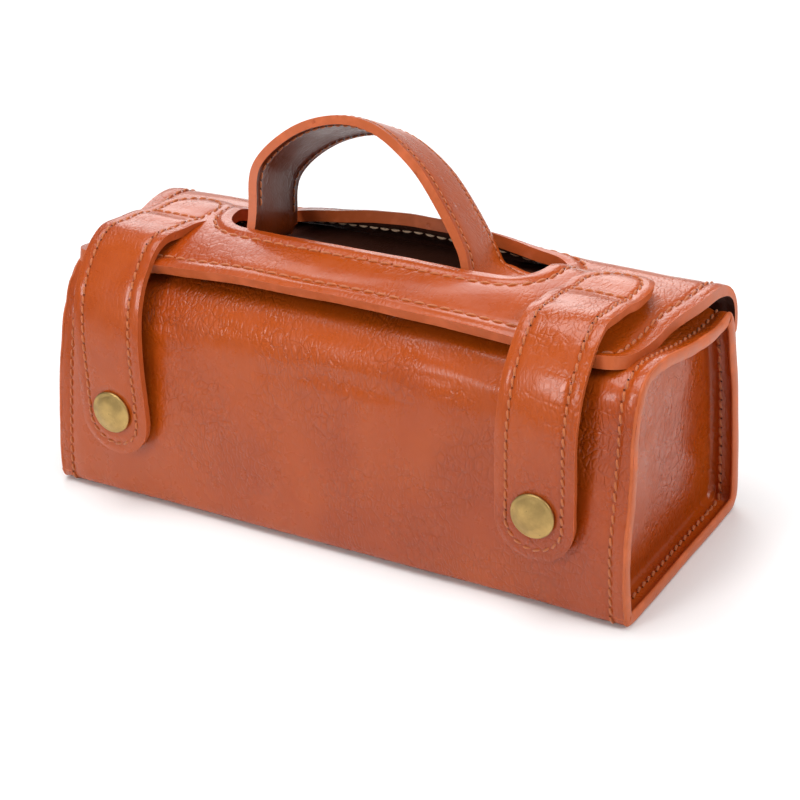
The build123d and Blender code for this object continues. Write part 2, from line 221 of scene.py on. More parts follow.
def edit(piece, select=None):
    """Edit mode on a piece, with everything selected, or the faces a test picks."""
    only(piece)
    bpy.ops.object.mode_set(mode="EDIT")
    if select is None:
        bpy.ops.mesh.select_all(action="SELECT")
        return
    bpy.ops.mesh.select_mode(type="FACE")
    bpy.ops.mesh.select_all(action="DESELECT")
    shape = bmesh.from_edit_mesh(piece.data)
    for face in shape.faces:
        face.select = select(face)
    shape.select_flush_mode()
    bmesh.update_edit_mesh(piece.data)


def leave_edit():
    """Back to object mode."""
    bpy.ops.object.mode_set(mode="OBJECT")


def sheet_grid(name, rows, closed=False):
    """A grid of quads through rows of points in millimetres, joined up round each row if closed."""
    clear_selection()
    tall, wide = len(rows) - 1, len(rows[0]) - 1
    bpy.ops.mesh.primitive_grid_add(x_subdivisions=wide, y_subdivisions=tall, size=2)
    piece = bpy.context.object
    piece.name = name
    piece.data.name = name
    for vertex in piece.data.vertices:
        column = round((vertex.co.x + 1) / 2 * wide)
        row = round((vertex.co.y + 1) / 2 * tall)
        vertex.co = rows[row][column] * MM
    if closed:
        merge(piece, 0.01)
    return piece


def face_out(piece, towards):
    """Turn every face over if a sample face looks away from where it should."""
    face = piece.data.polygons[len(piece.data.polygons) // 2]
    if face.normal.dot(towards(face.center / MM)) < 0:
        edit(piece)
        bpy.ops.mesh.flip_normals()
        leave_edit()


def delete_faces(piece, select):
    """Delete the faces a test picks."""
    edit(piece, select)
    bpy.ops.mesh.delete(type="FACE")
    leave_edit()


def merge(piece, distance):
    """Weld points that lie together, within a distance in millimetres."""
    edit(piece)
    bpy.ops.mesh.remove_doubles(threshold=distance * MM)
    leave_edit()


def turn_faces_out(piece):
    """Point every face of a closed piece outwards."""
    edit(piece)
    bpy.ops.mesh.normals_make_consistent(inside=False)
    leave_edit()


def apply(piece, kind, **settings):
    """Add one modifier with its settings and apply it."""
    only(piece)
    modifier = piece.modifiers.new(kind.title(), kind)
    for key, value in settings.items():
        setattr(modifier, key, value)
    bpy.ops.object.modifier_apply(modifier=modifier.name)


def soften(piece, levels=1):
    """Subdivide a piece and shade it smooth."""
    if levels:
        apply(piece, "SUBSURF", levels=levels, render_levels=levels)
    only(piece)
    bpy.ops.object.shade_smooth()


def thicken(piece, thickness, materials, edge_round=0.5, levels=1, edge_steps=3, vertex_group=""):
    """Give a sheet its wall, round its cut edges and smooth it."""
    for material in materials:
        piece.data.materials.append(material)
    apply(piece, "SOLIDIFY", thickness=thickness * MM, offset=-1.0, material_offset=2,
          material_offset_rim=1, use_even_offset=False, vertex_group=vertex_group)
    if edge_round > 0:
        apply(piece, "BEVEL", width=edge_round * MM, segments=edge_steps, limit_method="ANGLE",
              angle_limit=radians(50), material=1)
    soften(piece, levels)


def finish_piece(piece, body, slot, *nodes):
    """Hang a piece on its body and hide the imported nodes it stands for."""
    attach(piece, body)
    if nodes:
        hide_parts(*nodes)


def hang_between(piece, bodies, start, end, slot, *nodes):
    """Bake a piece's place into its mesh and hide the imported nodes it stands for."""
    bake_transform(piece)
    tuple(start)
    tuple(end)
    if nodes:
        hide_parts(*nodes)


# ---- shader node groups ----
def new_group(name, inputs, outputs):
    """An empty shader node group with float inputs and outputs of given kinds."""
    group = bpy.data.node_groups.new(name, "ShaderNodeTree")
    for label, value in inputs:
        socket = group.interface.new_socket(label, in_out="INPUT", socket_type="NodeSocketFloat")
        socket.default_value = value
    for label, kind in outputs:
        group.interface.new_socket(label, in_out="OUTPUT", socket_type=kind)
    return group


def node(tree, kind, **settings):
    """Add a node; settings name its properties, or its inputs when they start with in_."""
    made = tree.nodes.new(kind)
    for key, value in settings.items():
        if key.startswith("in_"):
            made.inputs[key[3:].replace("_", " ")].default_value = value
        else:
            setattr(made, key, value)
    return made


def maths(tree, operation, first, second=None):
    """A Math node from sockets or numbers."""
    made = tree.nodes.new("ShaderNodeMath")
    made.operation = operation
    for i, value in enumerate((first, second)):
        if value is None:
            continue
        if isinstance(value, (int, float)):
            made.inputs[i].default_value = value
        else:
            tree.links.new(value, made.inputs[i])
    return made.outputs[0]


def ramp(tree, value, low, high, out_low=0.0, out_high=1.0):
    """A smooth remap of a value."""
    made = node(tree, "ShaderNodeMapRange", interpolation_type="SMOOTHSTEP")
    tree.links.new(value, made.inputs["Value"])
    for label, number in (("From Min", low), ("From Max", high),
                          ("To Min", out_low), ("To Max", out_high)):
        made.inputs[label].default_value = number
    return made.outputs["Result"]


def object_place(tree, stretch=(1.0, 1.0, 1.0), turn=(0.0, 0.0, 0.0)):
    """Object coordinates, stretched and turned."""
    place = tree.nodes.new("ShaderNodeTexCoord")
    mapping = node(tree, "ShaderNodeMapping")
    mapping.inputs["Scale"].default_value = stretch
    mapping.inputs["Rotation"].default_value = turn
    tree.links.new(place.outputs["Object"], mapping.inputs["Vector"])
    return mapping.outputs["Vector"]


def cloud(tree, place, scale, detail=3.0, rough=0.5, distortion=0.0):
    """A noise texture's value."""
    made = node(tree, "ShaderNodeTexNoise", in_Scale=scale, in_Detail=detail, in_Roughness=rough,
                in_Distortion=distortion)
    tree.links.new(place, made.inputs["Vector"])
    return made.outputs["Fac"]


def cells(tree, place, scale, feature="F1"):
    """A Voronoi texture's distance."""
    made = node(tree, "ShaderNodeTexVoronoi", feature=feature, in_Scale=scale)
    tree.links.new(place, made.inputs["Vector"])
    return made.outputs["Distance"]


def leather_surface_group():
    """Fine grain, long creases and slow clouds of coated leather."""
    group = new_group("Leather surface", (("Grain", 1.0), ("Creases", 1.0)),
                      (("Height", "NodeSocketFloat"), ("Clouds", "NodeSocketFloat"),
                       ("Gloss", "NodeSocketFloat"), ("Crease Lines", "NodeSocketFloat")))
    inputs = node(group, "NodeGroupInput")
    outputs = node(group, "NodeGroupOutput")
    place = object_place(group)
    pebble = cells(group, place, 1500.0, "SMOOTH_F1")
    pores = ramp(group, cells(group, place, 900.0), 0.02, 0.16, -1.0, 0.0)
    fine = maths(group, "ADD", maths(group, "MULTIPLY", pebble, 0.35),
                 maths(group, "MULTIPLY", pores, 0.25))
    fine = maths(group, "MULTIPLY", fine, inputs.outputs["Grain"])
    bent = node(group, "ShaderNodeVectorMath", operation="ADD")
    warp = node(group, "ShaderNodeTexNoise", in_Scale=22.0, in_Detail=2.0)
    group.links.new(place, warp.inputs["Vector"])
    shrink = node(group, "ShaderNodeVectorMath", operation="SCALE")
    shrink.inputs["Scale"].default_value = 0.012
    group.links.new(warp.outputs["Color"], shrink.inputs[0])
    group.links.new(place, bent.inputs[0])
    group.links.new(shrink.outputs["Vector"], bent.inputs[1])
    stretched = node(group, "ShaderNodeMapping")
    stretched.inputs["Scale"].default_value = (1.0, 0.45, 0.45)
    group.links.new(bent.outputs["Vector"], stretched.inputs["Vector"])
    crinkles = ramp(group, cells(group, stretched.outputs["Vector"], 560.0, "DISTANCE_TO_EDGE"),
                    0.0, 0.22, -1.0, 0.0)
    coarse = ramp(group, cells(group, bent.outputs["Vector"], 210.0, "DISTANCE_TO_EDGE"),
                  0.0, 0.10, -0.7, 0.0)
    where = ramp(group, cloud(group, place, 34.0, 3.0), 0.40, 0.62, 0.15, 1.0)
    creases = maths(group, "MULTIPLY", maths(group, "ADD", crinkles, coarse), where)
    creases = maths(group, "MULTIPLY", creases, inputs.outputs["Creases"])
    hills = maths(group, "MULTIPLY", cloud(group, place, 70.0, 3.0), 1.2)
    height = maths(group, "ADD", maths(group, "ADD", fine, creases), hills)
    clouds = ramp(group, cloud(group, place, 17.0, 4.0, 0.6, 0.4), 0.36, 0.68)
    gloss = cloud(group, place, 90.0, 4.0, 0.62)
    for label, value in (("Height", height), ("Clouds", clouds), ("Gloss", gloss),
                         ("Crease Lines", maths(group, "MULTIPLY", creases, -1.0))):
        group.links.new(value, outputs.inputs[label])
    return group


def nick_group():
    """Small nicks, rubbed spots and dents of a painted edge."""
    group = new_group("Edge nicks", (("Amount", 1.0),),
                      (("Height", "NodeSocketFloat"), ("Rubbed", "NodeSocketFloat"),
                       ("Dark", "NodeSocketFloat")))
    inputs = node(group, "NodeGroupInput")
    outputs = node(group, "NodeGroupOutput")
    place = object_place(group)
    lumps = cloud(group, place, 260.0, 3.0, 0.6)
    nicks = ramp(group, cloud(group, place, 300.0, 2.0, 0.5), 0.68, 0.78)
    nicks = maths(group, "MULTIPLY", nicks, inputs.outputs["Amount"])
    rubbed = ramp(group, cloud(group, place, 120.0, 3.0, 0.6), 0.48, 0.70)
    height = maths(group, "SUBTRACT", maths(group, "MULTIPLY", lumps, 0.8), nicks)
    for label, value in (("Height", height), ("Rubbed", rubbed), ("Dark", nicks)):
        group.links.new(value, outputs.inputs[label])
    return group


GROUPS = {}


def shared(name, maker):
    """A node group, made once."""
    if name not in GROUPS:
        GROUPS[name] = maker()
    return GROUPS[name]


def add_shared(tree, name, maker, **settings):
    """Place a shared group in a material."""
    made = tree.nodes.new("ShaderNodeGroup")
    made.node_tree = shared(name, maker)
    for key, value in settings.items():
        made.inputs[key].default_value = value
    return made


def start_material(name):
    """A material with one empty Principled shader."""
    material = bpy.data.materials.new(name)
    material.use_nodes = True
    return material, material.node_tree, material.node_tree.nodes["Principled BSDF"]


def mix_colour(tree, share, first, second):
    """A colour between two, by a share."""
    made = node(tree, "ShaderNodeMix", data_type="RGBA")
    tree.links.new(share, made.inputs["Factor"])
    for label, value in (("A", first), ("B", second)):
        socket = [s for s in made.inputs if s.name == label and s.type == "RGBA"][0]
        if isinstance(value, (tuple, list)):
            socket.default_value = (*value[:3], 1.0)
        else:
            tree.links.new(value, socket)
    return [s for s in made.outputs if s.type == "RGBA"][0]


def add_bump(tree, shader, height, distance, strength=1.0):
    """Feed a height to the shader's normal."""
    made = node(tree, "ShaderNodeBump", in_Strength=strength, in_Distance=distance)
    tree.links.new(height, made.inputs["Height"])
    tree.links.new(made.outputs["Normal"], shader.inputs["Normal"])


def leather_material(name, base, dark, grain=1.0, creases=1.0, gloss=(0.22, 0.38), coat=0.3):
    """Coated leather with clouds, grain, creases darkened with painted shade, and uneven gloss."""
    material, tree, shader = start_material(name)
    surface = add_shared(tree, "Leather surface", leather_surface_group, Grain=grain, Creases=creases)
    colour = mix_colour(tree, maths(tree, "MULTIPLY", surface.outputs["Clouds"], 0.6), base, dark)
    # painted shade: the colour darkens along the crease lines
    colour = mix_colour(tree, maths(tree, "MULTIPLY", surface.outputs["Crease Lines"], 0.07), colour,
                        shade(dark, 0.6))
    tree.links.new(colour, shader.inputs["Base Color"])
    tree.links.new(ramp(tree, surface.outputs["Gloss"], 0.3, 0.7, *gloss), shader.inputs["Roughness"])
    shader.inputs["Coat Weight"].default_value = coat
    shader.inputs["Coat Roughness"].default_value = 0.13
    shader.inputs["Specular IOR Level"].default_value = 0.34
    add_bump(tree, shader, surface.outputs["Height"], 0.00015, 0.6)
    return material


def edge_material(name, base, dark):
    """Painted cut edge."""
    material, tree, shader = start_material(name)
    nicks = add_shared(tree, "Edge nicks", nick_group, Amount=0.8)
    colour = mix_colour(tree, nicks.outputs["Rubbed"], base, shade(base, 1.18, 0.012))
    colour = mix_colour(tree, maths(tree, "MULTIPLY", nicks.outputs["Dark"], 0.55), colour, dark)
    tree.links.new(colour, shader.inputs["Base Color"])
    gloss = ramp(tree, nicks.outputs["Rubbed"], 0.0, 1.0, 0.42, 0.58)
    tree.links.new(gloss, shader.inputs["Roughness"])
    shader.inputs["Coat Weight"].default_value = 0.06
    shader.inputs["Coat Roughness"].default_value = 0.3
    shader.inputs["Specular IOR Level"].default_value = 0.35
    add_bump(tree, shader, nicks.outputs["Height"], 0.0003, 0.6)
    return material


def thread_material(name, base):
    """Twisted sewing thread."""
    material, tree, shader = start_material(name)
    place = object_place(tree)
    fibres = cloud(tree, place, 1900.0, 2.0, 0.6)
    colour = mix_colour(tree, fibres, shade(base, 0.62), shade(base, 1.25))
    tree.links.new(colour, shader.inputs["Base Color"])
    tree.links.new(ramp(tree, fibres, 0.3, 0.7, 0.5, 0.75), shader.inputs["Roughness"])
    shader.inputs["Sheen Weight"].default_value = 0.3
    add_bump(tree, shader, fibres, 0.0001, 0.7)
    return material


def hole_shade_material():
    """Painted shade: the inside of a needle hole coloured near black-brown."""
    material, tree, shader = start_material("Needle hole shade")
    place = object_place(tree)
    colour = mix_colour(tree, cloud(tree, place, 900.0), (0.035, 0.006, 0.002), (0.09, 0.018, 0.005))
    tree.links.new(colour, shader.inputs["Base Color"])
    shader.inputs["Roughness"].default_value = 0.8
    shader.inputs["Specular IOR Level"].default_value = 0.1
    return material


def lining_material(name, base):
    """Close woven lining."""
    material, tree, shader = start_material(name)
    place = object_place(tree)
    weave = []
    for turn in (0.0, pi / 2):
        strands = node(tree, "ShaderNodeTexWave", wave_type="BANDS", bands_direction="X",
                       in_Scale=420.0, in_Distortion=0.6, in_Detail=1.0)
        turned = object_place(tree, (1.0, 0.72, 1.0), (0.35, 0.0, turn))
        tree.links.new(turned, strands.inputs["Vector"])
        weave.append(strands.outputs["Fac"])
    cloth = maths(tree, "MULTIPLY", maths(tree, "ADD", weave[0], weave[1]), 0.5)
    stain = cloud(tree, place, 30.0, 3.0)
    share = maths(tree, "ADD", maths(tree, "MULTIPLY", cloth, 0.6),
                  maths(tree, "MULTIPLY", stain, 0.4))
    colour = mix_colour(tree, share, shade(base, 0.5), shade(base, 1.7))
    tree.links.new(colour, shader.inputs["Base Color"])
    tree.links.new(ramp(tree, stain, 0.3, 0.7, 0.7, 0.9), shader.inputs["Roughness"])
    shader.inputs["Sheen Weight"].default_value = 0.25
    add_bump(tree, shader, cloth, 0.00015, 0.6)
    return material


def board_material():
    """Grey-brown fibre board."""
    material, tree, shader = start_material("Fibre board")
    place = object_place(tree)
    fibres = cloud(tree, place, 600.0, 4.0, 0.7)
    colour = mix_colour(tree, fibres, (0.30, 0.23, 0.16), (0.5, 0.41, 0.30))
    tree.links.new(colour, shader.inputs["Base Color"])
    tree.links.new(ramp(tree, fibres, 0.3, 0.7, 0.75, 0.95), shader.inputs["Roughness"])
    add_bump(tree, shader, fibres, 0.0001, 0.5)
    return material


def brass_material(base):
    """Antiqued brass, dark in its hollows and rubbed bright in patches."""
    material, tree, shader = start_material("Antique brass")
    place = object_place(tree)
    tarnish = ramp(tree, cloud(tree, place, 160.0, 4.0, 0.6, 0.2), 0.30, 0.75)
    specks = ramp(tree, cells(tree, place, 520.0), 0.05, 0.18, 1.0, 0.0)
    share = maths(tree, "MAXIMUM", maths(tree, "MULTIPLY", specks, 0.55),
                  maths(tree, "MULTIPLY", tarnish, 0.5))
    colour = mix_colour(tree, share, base, BRASS_SHADE)
    tree.links.new(colour, shader.inputs["Base Color"])
    tree.links.new(ramp(tree, share, 0.0, 1.0, 0.36, 0.58), shader.inputs["Roughness"])
    tree.links.new(ramp(tree, share, 0.0, 1.0, 1.0, 0.85), shader.inputs["Metallic"])
    scratches = cloud(tree, object_place(tree, (1.0, 1.0, 0.15), (0.4, 0.3, 0.6)), 1300.0, 2.0)
    add_bump(tree, shader, maths(tree, "ADD", scratches, tarnish), 0.00008, 0.5)
    return material


PALE_THREAD = (0.62, 0.42, 0.27)
BRASS_SHADE = (0.12, 0.085, 0.035)


def shade(colour, factor, extra=0.0):
    """A colour made lighter or darker."""
    return tuple(factor * part + extra for part in colour)


def make_materials():
    """Every finish of the case, by a plain name."""
    settings = property_groups()
    leather, dark = tuple(settings.leather), tuple(settings.leather_dark)
    edge, lining = tuple(settings.painted_edge), tuple(settings.lining)
    return {
        "case": leather_material("Case leather", leather, dark, creases=1.7),
        "panel": leather_material("End leather", leather, dark, creases=1.3, coat=0.1),
        "lid": leather_material("Lid leather", leather, dark),
        "strap": leather_material("Strap leather", leather, dark, creases=1.7),
        "handle": leather_material("Handle leather", leather, dark, creases=0.8),
        # painted shade: a dark brown copy for the top under the lid, where the lid's shade falls
        "top": leather_material("Top panel painted shade", shade(lining, 1.5), shade(lining, 0.8),
                                gloss=(0.36, 0.56), coat=0.15),
        # painted shade: the handle's inner face is the same leather darkened to about a third, for
        # the shade it faces into
        "inner": leather_material("Handle inside shade", shade(leather, 0.34, 0.002),
                                  shade(dark, 0.34, 0.001), creases=1.2,
                                  gloss=(0.3, 0.46), coat=0.12),
        "back": leather_material("Leather back", shade(leather, 0.72), dark, grain=1.4,
                                 gloss=(0.32, 0.5), coat=0.3),
        "edge": edge_material("Painted edge", edge, dark),
        "thread": thread_material("Sewing thread", tuple(settings.thread)),
        "pale_thread": thread_material("Pale thread", PALE_THREAD),
        "hole": hole_shade_material(),
        "lining": lining_material("Case lining", lining),
        "lid_lining": leather_material("Lid lining", shade(lining, 1.3), shade(lining, 0.7),
                                       gloss=(0.4, 0.6), coat=0.15),
        "board": board_material(),
        "brass": brass_material(tuple(settings.brass)),
    }


FINISH = {}


# ---- stitching ----
STITCH_RINGS = ((-0.5, 0.35, -0.9), (-0.36, 0.85, -0.1), (-0.12, 1.0, 0.35), (0.12, 1.0, 0.35),
                (0.36, 0.85, -0.1), (0.5, 0.35, -0.9))   # place, thickness and lift along one stitch
STITCH_SIDES = 6
STITCH_SHARE = 0.92     # of the pitch that thread covers
HOLE_RADIUS, HOLE_LIFT, HOLE_DEPTH = 0.36, 0.05, 0.25
SEAM_LIFT = 0.1         # how far a seam's line lies above the leather
SLOPE_STEP = 0.4        # step along a surface that gives its slope


def stitch_rows(name, rows, pitch=None, lean=0.22, thread="thread", finer=1.0):
    """Stitches along rows of (point, outward) samples, with a needle hole after each one."""
    settings = property_groups()
    pitch = pitch or settings.stitch_pitch
    radius = settings.thread_radius * finer
    points, faces, kinds = [], [], []
    for samples in rows:
        route = Route([sample[0] for sample in samples], 2)
        count = max(1, round(route.length / pitch))
        step = route.length / count
        for k in range(count):
            middle = (k + 0.5) * step
            centre = route.at(middle)
            forward = route.along(middle)
            outward = nearest_outward(samples, route, middle)
            across = outward.cross(forward).normalized()
            outward = forward.cross(across).normalized()
            forward = (forward + across * lean).normalized()
            first = len(points)
            for share, size, lift in STITCH_RINGS:
                hub = centre + forward * (share * step * STITCH_SHARE) + outward * (lift * radius)
                for corner in range(STITCH_SIDES):
                    angle = 2 * pi * corner / STITCH_SIDES
                    spoke = across * cos(angle) + outward * sin(angle)
                    points.append(hub + spoke * (radius * size))
            for ring in range(len(STITCH_RINGS) - 1):
                for corner in range(STITCH_SIDES):
                    a = first + ring * STITCH_SIDES + corner
                    b = first + ring * STITCH_SIDES + (corner + 1) % STITCH_SIDES
                    faces.append((a, a + STITCH_SIDES, b + STITCH_SIDES, b))
                    kinds.append(0)
            last = first + (len(STITCH_RINGS) - 1) * STITCH_SIDES
            faces.append(tuple(first + c for c in range(STITCH_SIDES)))
            faces.append(tuple(last + c for c in reversed(range(STITCH_SIDES))))
            kinds += [0, 0]
            hub = centre + forward * (step / 2) + outward * HOLE_LIFT
            start = len(points)
            for corner in range(STITCH_SIDES):
                angle = 2 * pi * corner / STITCH_SIDES
                points.append(hub + (across * cos(angle) + forward * sin(angle)) * HOLE_RADIUS)
            points.append(hub - outward * HOLE_DEPTH)
            for corner in range(STITCH_SIDES):
                following = start + (corner + 1) % STITCH_SIDES
                faces.append((start + corner, following, start + STITCH_SIDES))
                kinds.append(1)
    mesh = bpy.data.meshes.new(name)
    for point in points:
        point.z = max(0.0, point.z)     # pressed flat where the case stands on its stitches
    mesh.from_pydata([point * MM for point in points], [], faces)
    piece = bpy.data.objects.new(name, mesh)
    bpy.context.scene.collection.objects.link(piece)
    mesh.materials.append(FINISH[thread])
    # painted shade in the needle holes
    mesh.materials.append(FINISH["hole"])
    for polygon, kind in zip(mesh.polygons, kinds):
        polygon.material_index = kind
        polygon.use_smooth = kind == 0
    turn_faces_out(piece)
    return piece


def nearest_outward(samples, route, run):
    """The outward direction of the sample nearest to a length along a row."""
    share = max(0.0, min(1.0, run / route.length)) * (len(samples) - 1)
    low = min(int(share), len(samples) - 2)
    part = share - low
    return (samples[low][1] * (1 - part) + samples[low + 1][1] * part).normalized()


def sample_surface(surface, places, lift=SEAM_LIFT):
    """Points and outward directions of a surface at (a, b) places."""
    row = []
    for a, b in places:
        here = surface(a, b, lift)
        ahead = surface(a + SLOPE_STEP, b, lift) - surface(a - SLOPE_STEP, b, lift)
        beside = surface(a, b + SLOPE_STEP, lift) - surface(a, b - SLOPE_STEP, lift)
        outward = ahead.cross(beside).normalized()
        if outward.dot(surface(a, b, lift + 1.0) - here) < 0:
            outward = -outward
        row.append((here, outward))
    return row


# ---- the case ----
INSIDE_REACH = 96.0         # half the length of the boards and the lining
BOARD_LIFT, BOARD_THICKNESS, BOARD_TOP = -1.9, 1.0, 70.0
LINING_LIFT, LINING_THICKNESS = -3.05, 0.7
OUTLINES = {-1: LEFT_OUTLINE, 0: MIDDLE_OUTLINE, 1: RIGHT_OUTLINE}
KEYS = len(MIDDLE_OUTLINE)
ROWS = KEYS * KEY_STEPS


def outline_point(side, row):
    """A point of one outline; rows count round it, with KEY_STEPS to a key."""
    keys = OUTLINES[side]
    place = (row / KEY_STEPS) % KEYS
    i = int(place)
    near = [Vector((0, *keys[(i + k) % KEYS])) for k in (-1, 0, 1, 2)]
    return hermite(*near, place - i)


def case_centre_line(x, row):
    """The case's outer surface without its small unevenness."""
    share = smooth((abs(x) - END_BLEND_START) / (HALF_LENGTH - END_BLEND_START))
    side = 1 if x > 0 else -1
    point = outline_point(0, row) * (1 - share) + outline_point(side, row) * share
    point.x = x
    return point


def case_unevenness(x, point):
    """How far the leather stands out or in, in millimetres."""
    rim = HALF_LENGTH - abs(x)
    # the rim's seam, the bead outside it and the swell inside it
    lift = (-0.45 * bump(rim - RIM_SEAM, 0.9) + 0.35 * bump(rim - 2.4, 1.6)
            + 0.5 * bump(rim - 11.0, 4.0))
    # slow and quick waves of the leather
    lift += 0.55 * waves(x / 30, point.y / 26, point.z / 26, 3.1)
    lift += 0.16 * waves(x / 9, point.y / 11, point.z / 11, 7.7)
    # slanting creases in the front's shoulder
    shoulder = smooth((-20 - point.y) / 14) * bump(point.z - 66, 16)
    crease = waves(x / 26, point.z / 5.5 + x / 60, 0.0, 11.3)
    lift -= 0.55 * shoulder * smooth((crease - 0.12) / 0.3)
    # the top sinks beside the rims
    top = smooth((point.z - 60) / 14) * smooth((point.y + 22) / 12) * smooth((40 - point.y) / 8)
    lift -= 0.9 * top * bump(rim - 7.0, 5.0)
    under = smooth((4 - point.z) / 4)       # the base stays flat
    return lift * (1 - under)


def case_surface(x, row, lift=0.0):
    """The case's outer surface in millimetres, raised by a lift."""
    point = case_centre_line(x, row)
    ahead = case_centre_line(x, row + 0.7) - case_centre_line(x, row - 0.7)
    outward = Vector((0, -ahead.z, ahead.y)).normalized()
    edge = smooth((abs(x) - RIM_WAVE_START) / (HALF_LENGTH - RIM_WAVE_START))
    wobble = edge * property_groups().rim_wave * waves(row / 5.0, x / 50, 0.3, 5.0)
    raised = point + outward * (lift + case_unevenness(x, point))
    raised.x += wobble * (1 if x > 0 else -1)
    raised.z = max(raised.z, -lift if lift < 0 else 0.0)
    return raised


def stations():
    """X places along the case, close together near the rims."""
    half = [4.5 * k for k in range(17)]
    half += [76, 80, 84, 87, 90, 93, 96, 99, 101.5, 103.3, 104.4, 105.0, 105.7, 106.8, 108.2,
             109.4, 110]
    return [-x for x in reversed(half[1:])] + half


def case_rows(places, lift):
    """Rows of points round the case at each x."""
    return [[case_surface(x, row, lift) for row in range(ROWS + 1)] for x in places]


def away_from_axis(point):
    """From the case's long axis outwards."""
    return Vector((0, point.y, point.z - 40))


def in_mouth(face):
    """True for a face of the sheet that the mouth takes away."""
    centre = face.calc_center_median() / MM
    front = case_centre_line(0, MOUTH_KEYS[0] * KEY_STEPS).y
    back = case_centre_line(0, MOUTH_KEYS[1] * KEY_STEPS).y
    return centre.z > 70 and abs(centre.x) < MOUTH_REACH and front < centre.y < back


def in_lid_shade(place):
    """True for the part of the top that the shut lid hides, which gets painted shade: a dark brown
    colour.
    """
    return place.z > 74 and abs(place.x) < LID_SHADE_REACH and -20 < place.y < 40


def make_case_wrap():
    """The outer leather: front, base, back and top in one tube with rims."""
    piece = sheet_grid("case_wrap", case_rows(stations(), 0.0), closed=True)
    face_out(piece, away_from_axis)
    delete_faces(piece, in_mouth)
    # painted shade: the top under the lid is coloured dark, as the lid shades it
    for face in piece.data.polygons:
        if in_lid_shade(face.center / MM):
            face.material_index = 3
    thicken(piece, property_groups().wrap_thickness,
            (FINISH["case"], FINISH["edge"], FINISH["back"], FINISH["top"]), 0.45)
    finish_piece(piece, "case", "case_leather", "body_wrap", "top_panel")


def make_case_inside():
    """The stiffening boards and the lining inside the outer leather."""
    places = [x for x in stations() if abs(x) <= INSIDE_REACH]
    boards = sheet_grid("case_boards", case_rows(places, BOARD_LIFT), closed=True)
    face_out(boards, away_from_axis)
    delete_faces(boards, lambda face: face.calc_center_median().z > BOARD_TOP * MM)
    thicken(boards, BOARD_THICKNESS, (FINISH["board"],) * 3, 0.0, 0)
    finish_piece(boards, "case", "board", "front_board", "bottom_board", "back_board")
    lining = sheet_grid("case_lining", case_rows(places, LINING_LIFT), closed=True)
    face_out(lining, away_from_axis)
    delete_faces(lining, in_mouth)
    thicken(lining, LINING_THICKNESS, (FINISH["lining"],) * 3, 0.0, 0)
    finish_piece(lining, "case", "lining", "body_lining")


CUP_RINGS = ((110.0, 1.85), (109.4, 1.8), (108.2, 1.8), (106.8, 1.85), (105.7, 1.95), (105.0, 2.15),
             (104.4, 2.0), (103.3, 1.95))
CUP_CORNER = ((102.3, 2.1), (101.5, 2.5), (101.05, 3.2))
CUP_SCALES = (0.95, 0.91, 0.87, 0.83, 0.79, 0.75, 0.71, 0.67, 0.62, 0.57, 0.52, 0.46, 0.40,
              0.33, 0.26, 0.19, 0.12, 0.05, 0.012)
CUP_THICKNESS, CUP_LIFT = 1.7, 3.2       # the panel's wall, and how far in from the outline it starts
PANEL_MIDDLE = (0.0, 40.0)
PANEL_FOLD = 50.0           # height of the slanting fold in the recessed panels
INNER_FACE, INNER_THICKNESS = 98.8, 1.6
INNER_RINGS = ((98.9, -4.3), (98.8, -5.2))
EASING = range(-4, 5)       # rows averaged where the rim turns sharply


def inner_rim(side, x, lift):
    """A ring inside the rim, eased round its corners."""
    ring = [case_surface(side * x, row, -lift) for row in range(ROWS)]
    eased = [sum((ring[(row + shift) % ROWS] for shift in EASING), Vector()) / len(EASING)
             for row in range(ROWS)]
    return eased + [eased[0].copy()]


def end_panel_point(side, rim, scale):
    """A point of the recessed panel, as a share of the way out from its middle."""
    y = PANEL_MIDDLE[0] + (rim.y - PANEL_MIDDLE[0]) * scale
    z = PANEL_MIDDLE[1] + (rim.z - PANEL_MIDDLE[1]) * scale
    swell = 1.2 * (1 - scale * scale) + 0.8 * waves(y / 24, z / 26, side * 2.0, 9.0)
    above_fold = (z - PANEL_FOLD) + 0.22 * (y + 12)
    swell += 1.6 * smooth(above_fold / 16) * (1 - 0.5 * scale)
    swell += 0.7 * bump(z - 22 + 0.5 * (y - 30), 4.5) * bump(y - 31, 11)
    swell -= 0.9 * bump(z - 28 + 0.6 * (y - 30), 3.5) * bump(y - 32, 9)
    return Vector((side * (END_FACE - 0.4 + swell * smooth((1 - scale) * 7)), y, z))


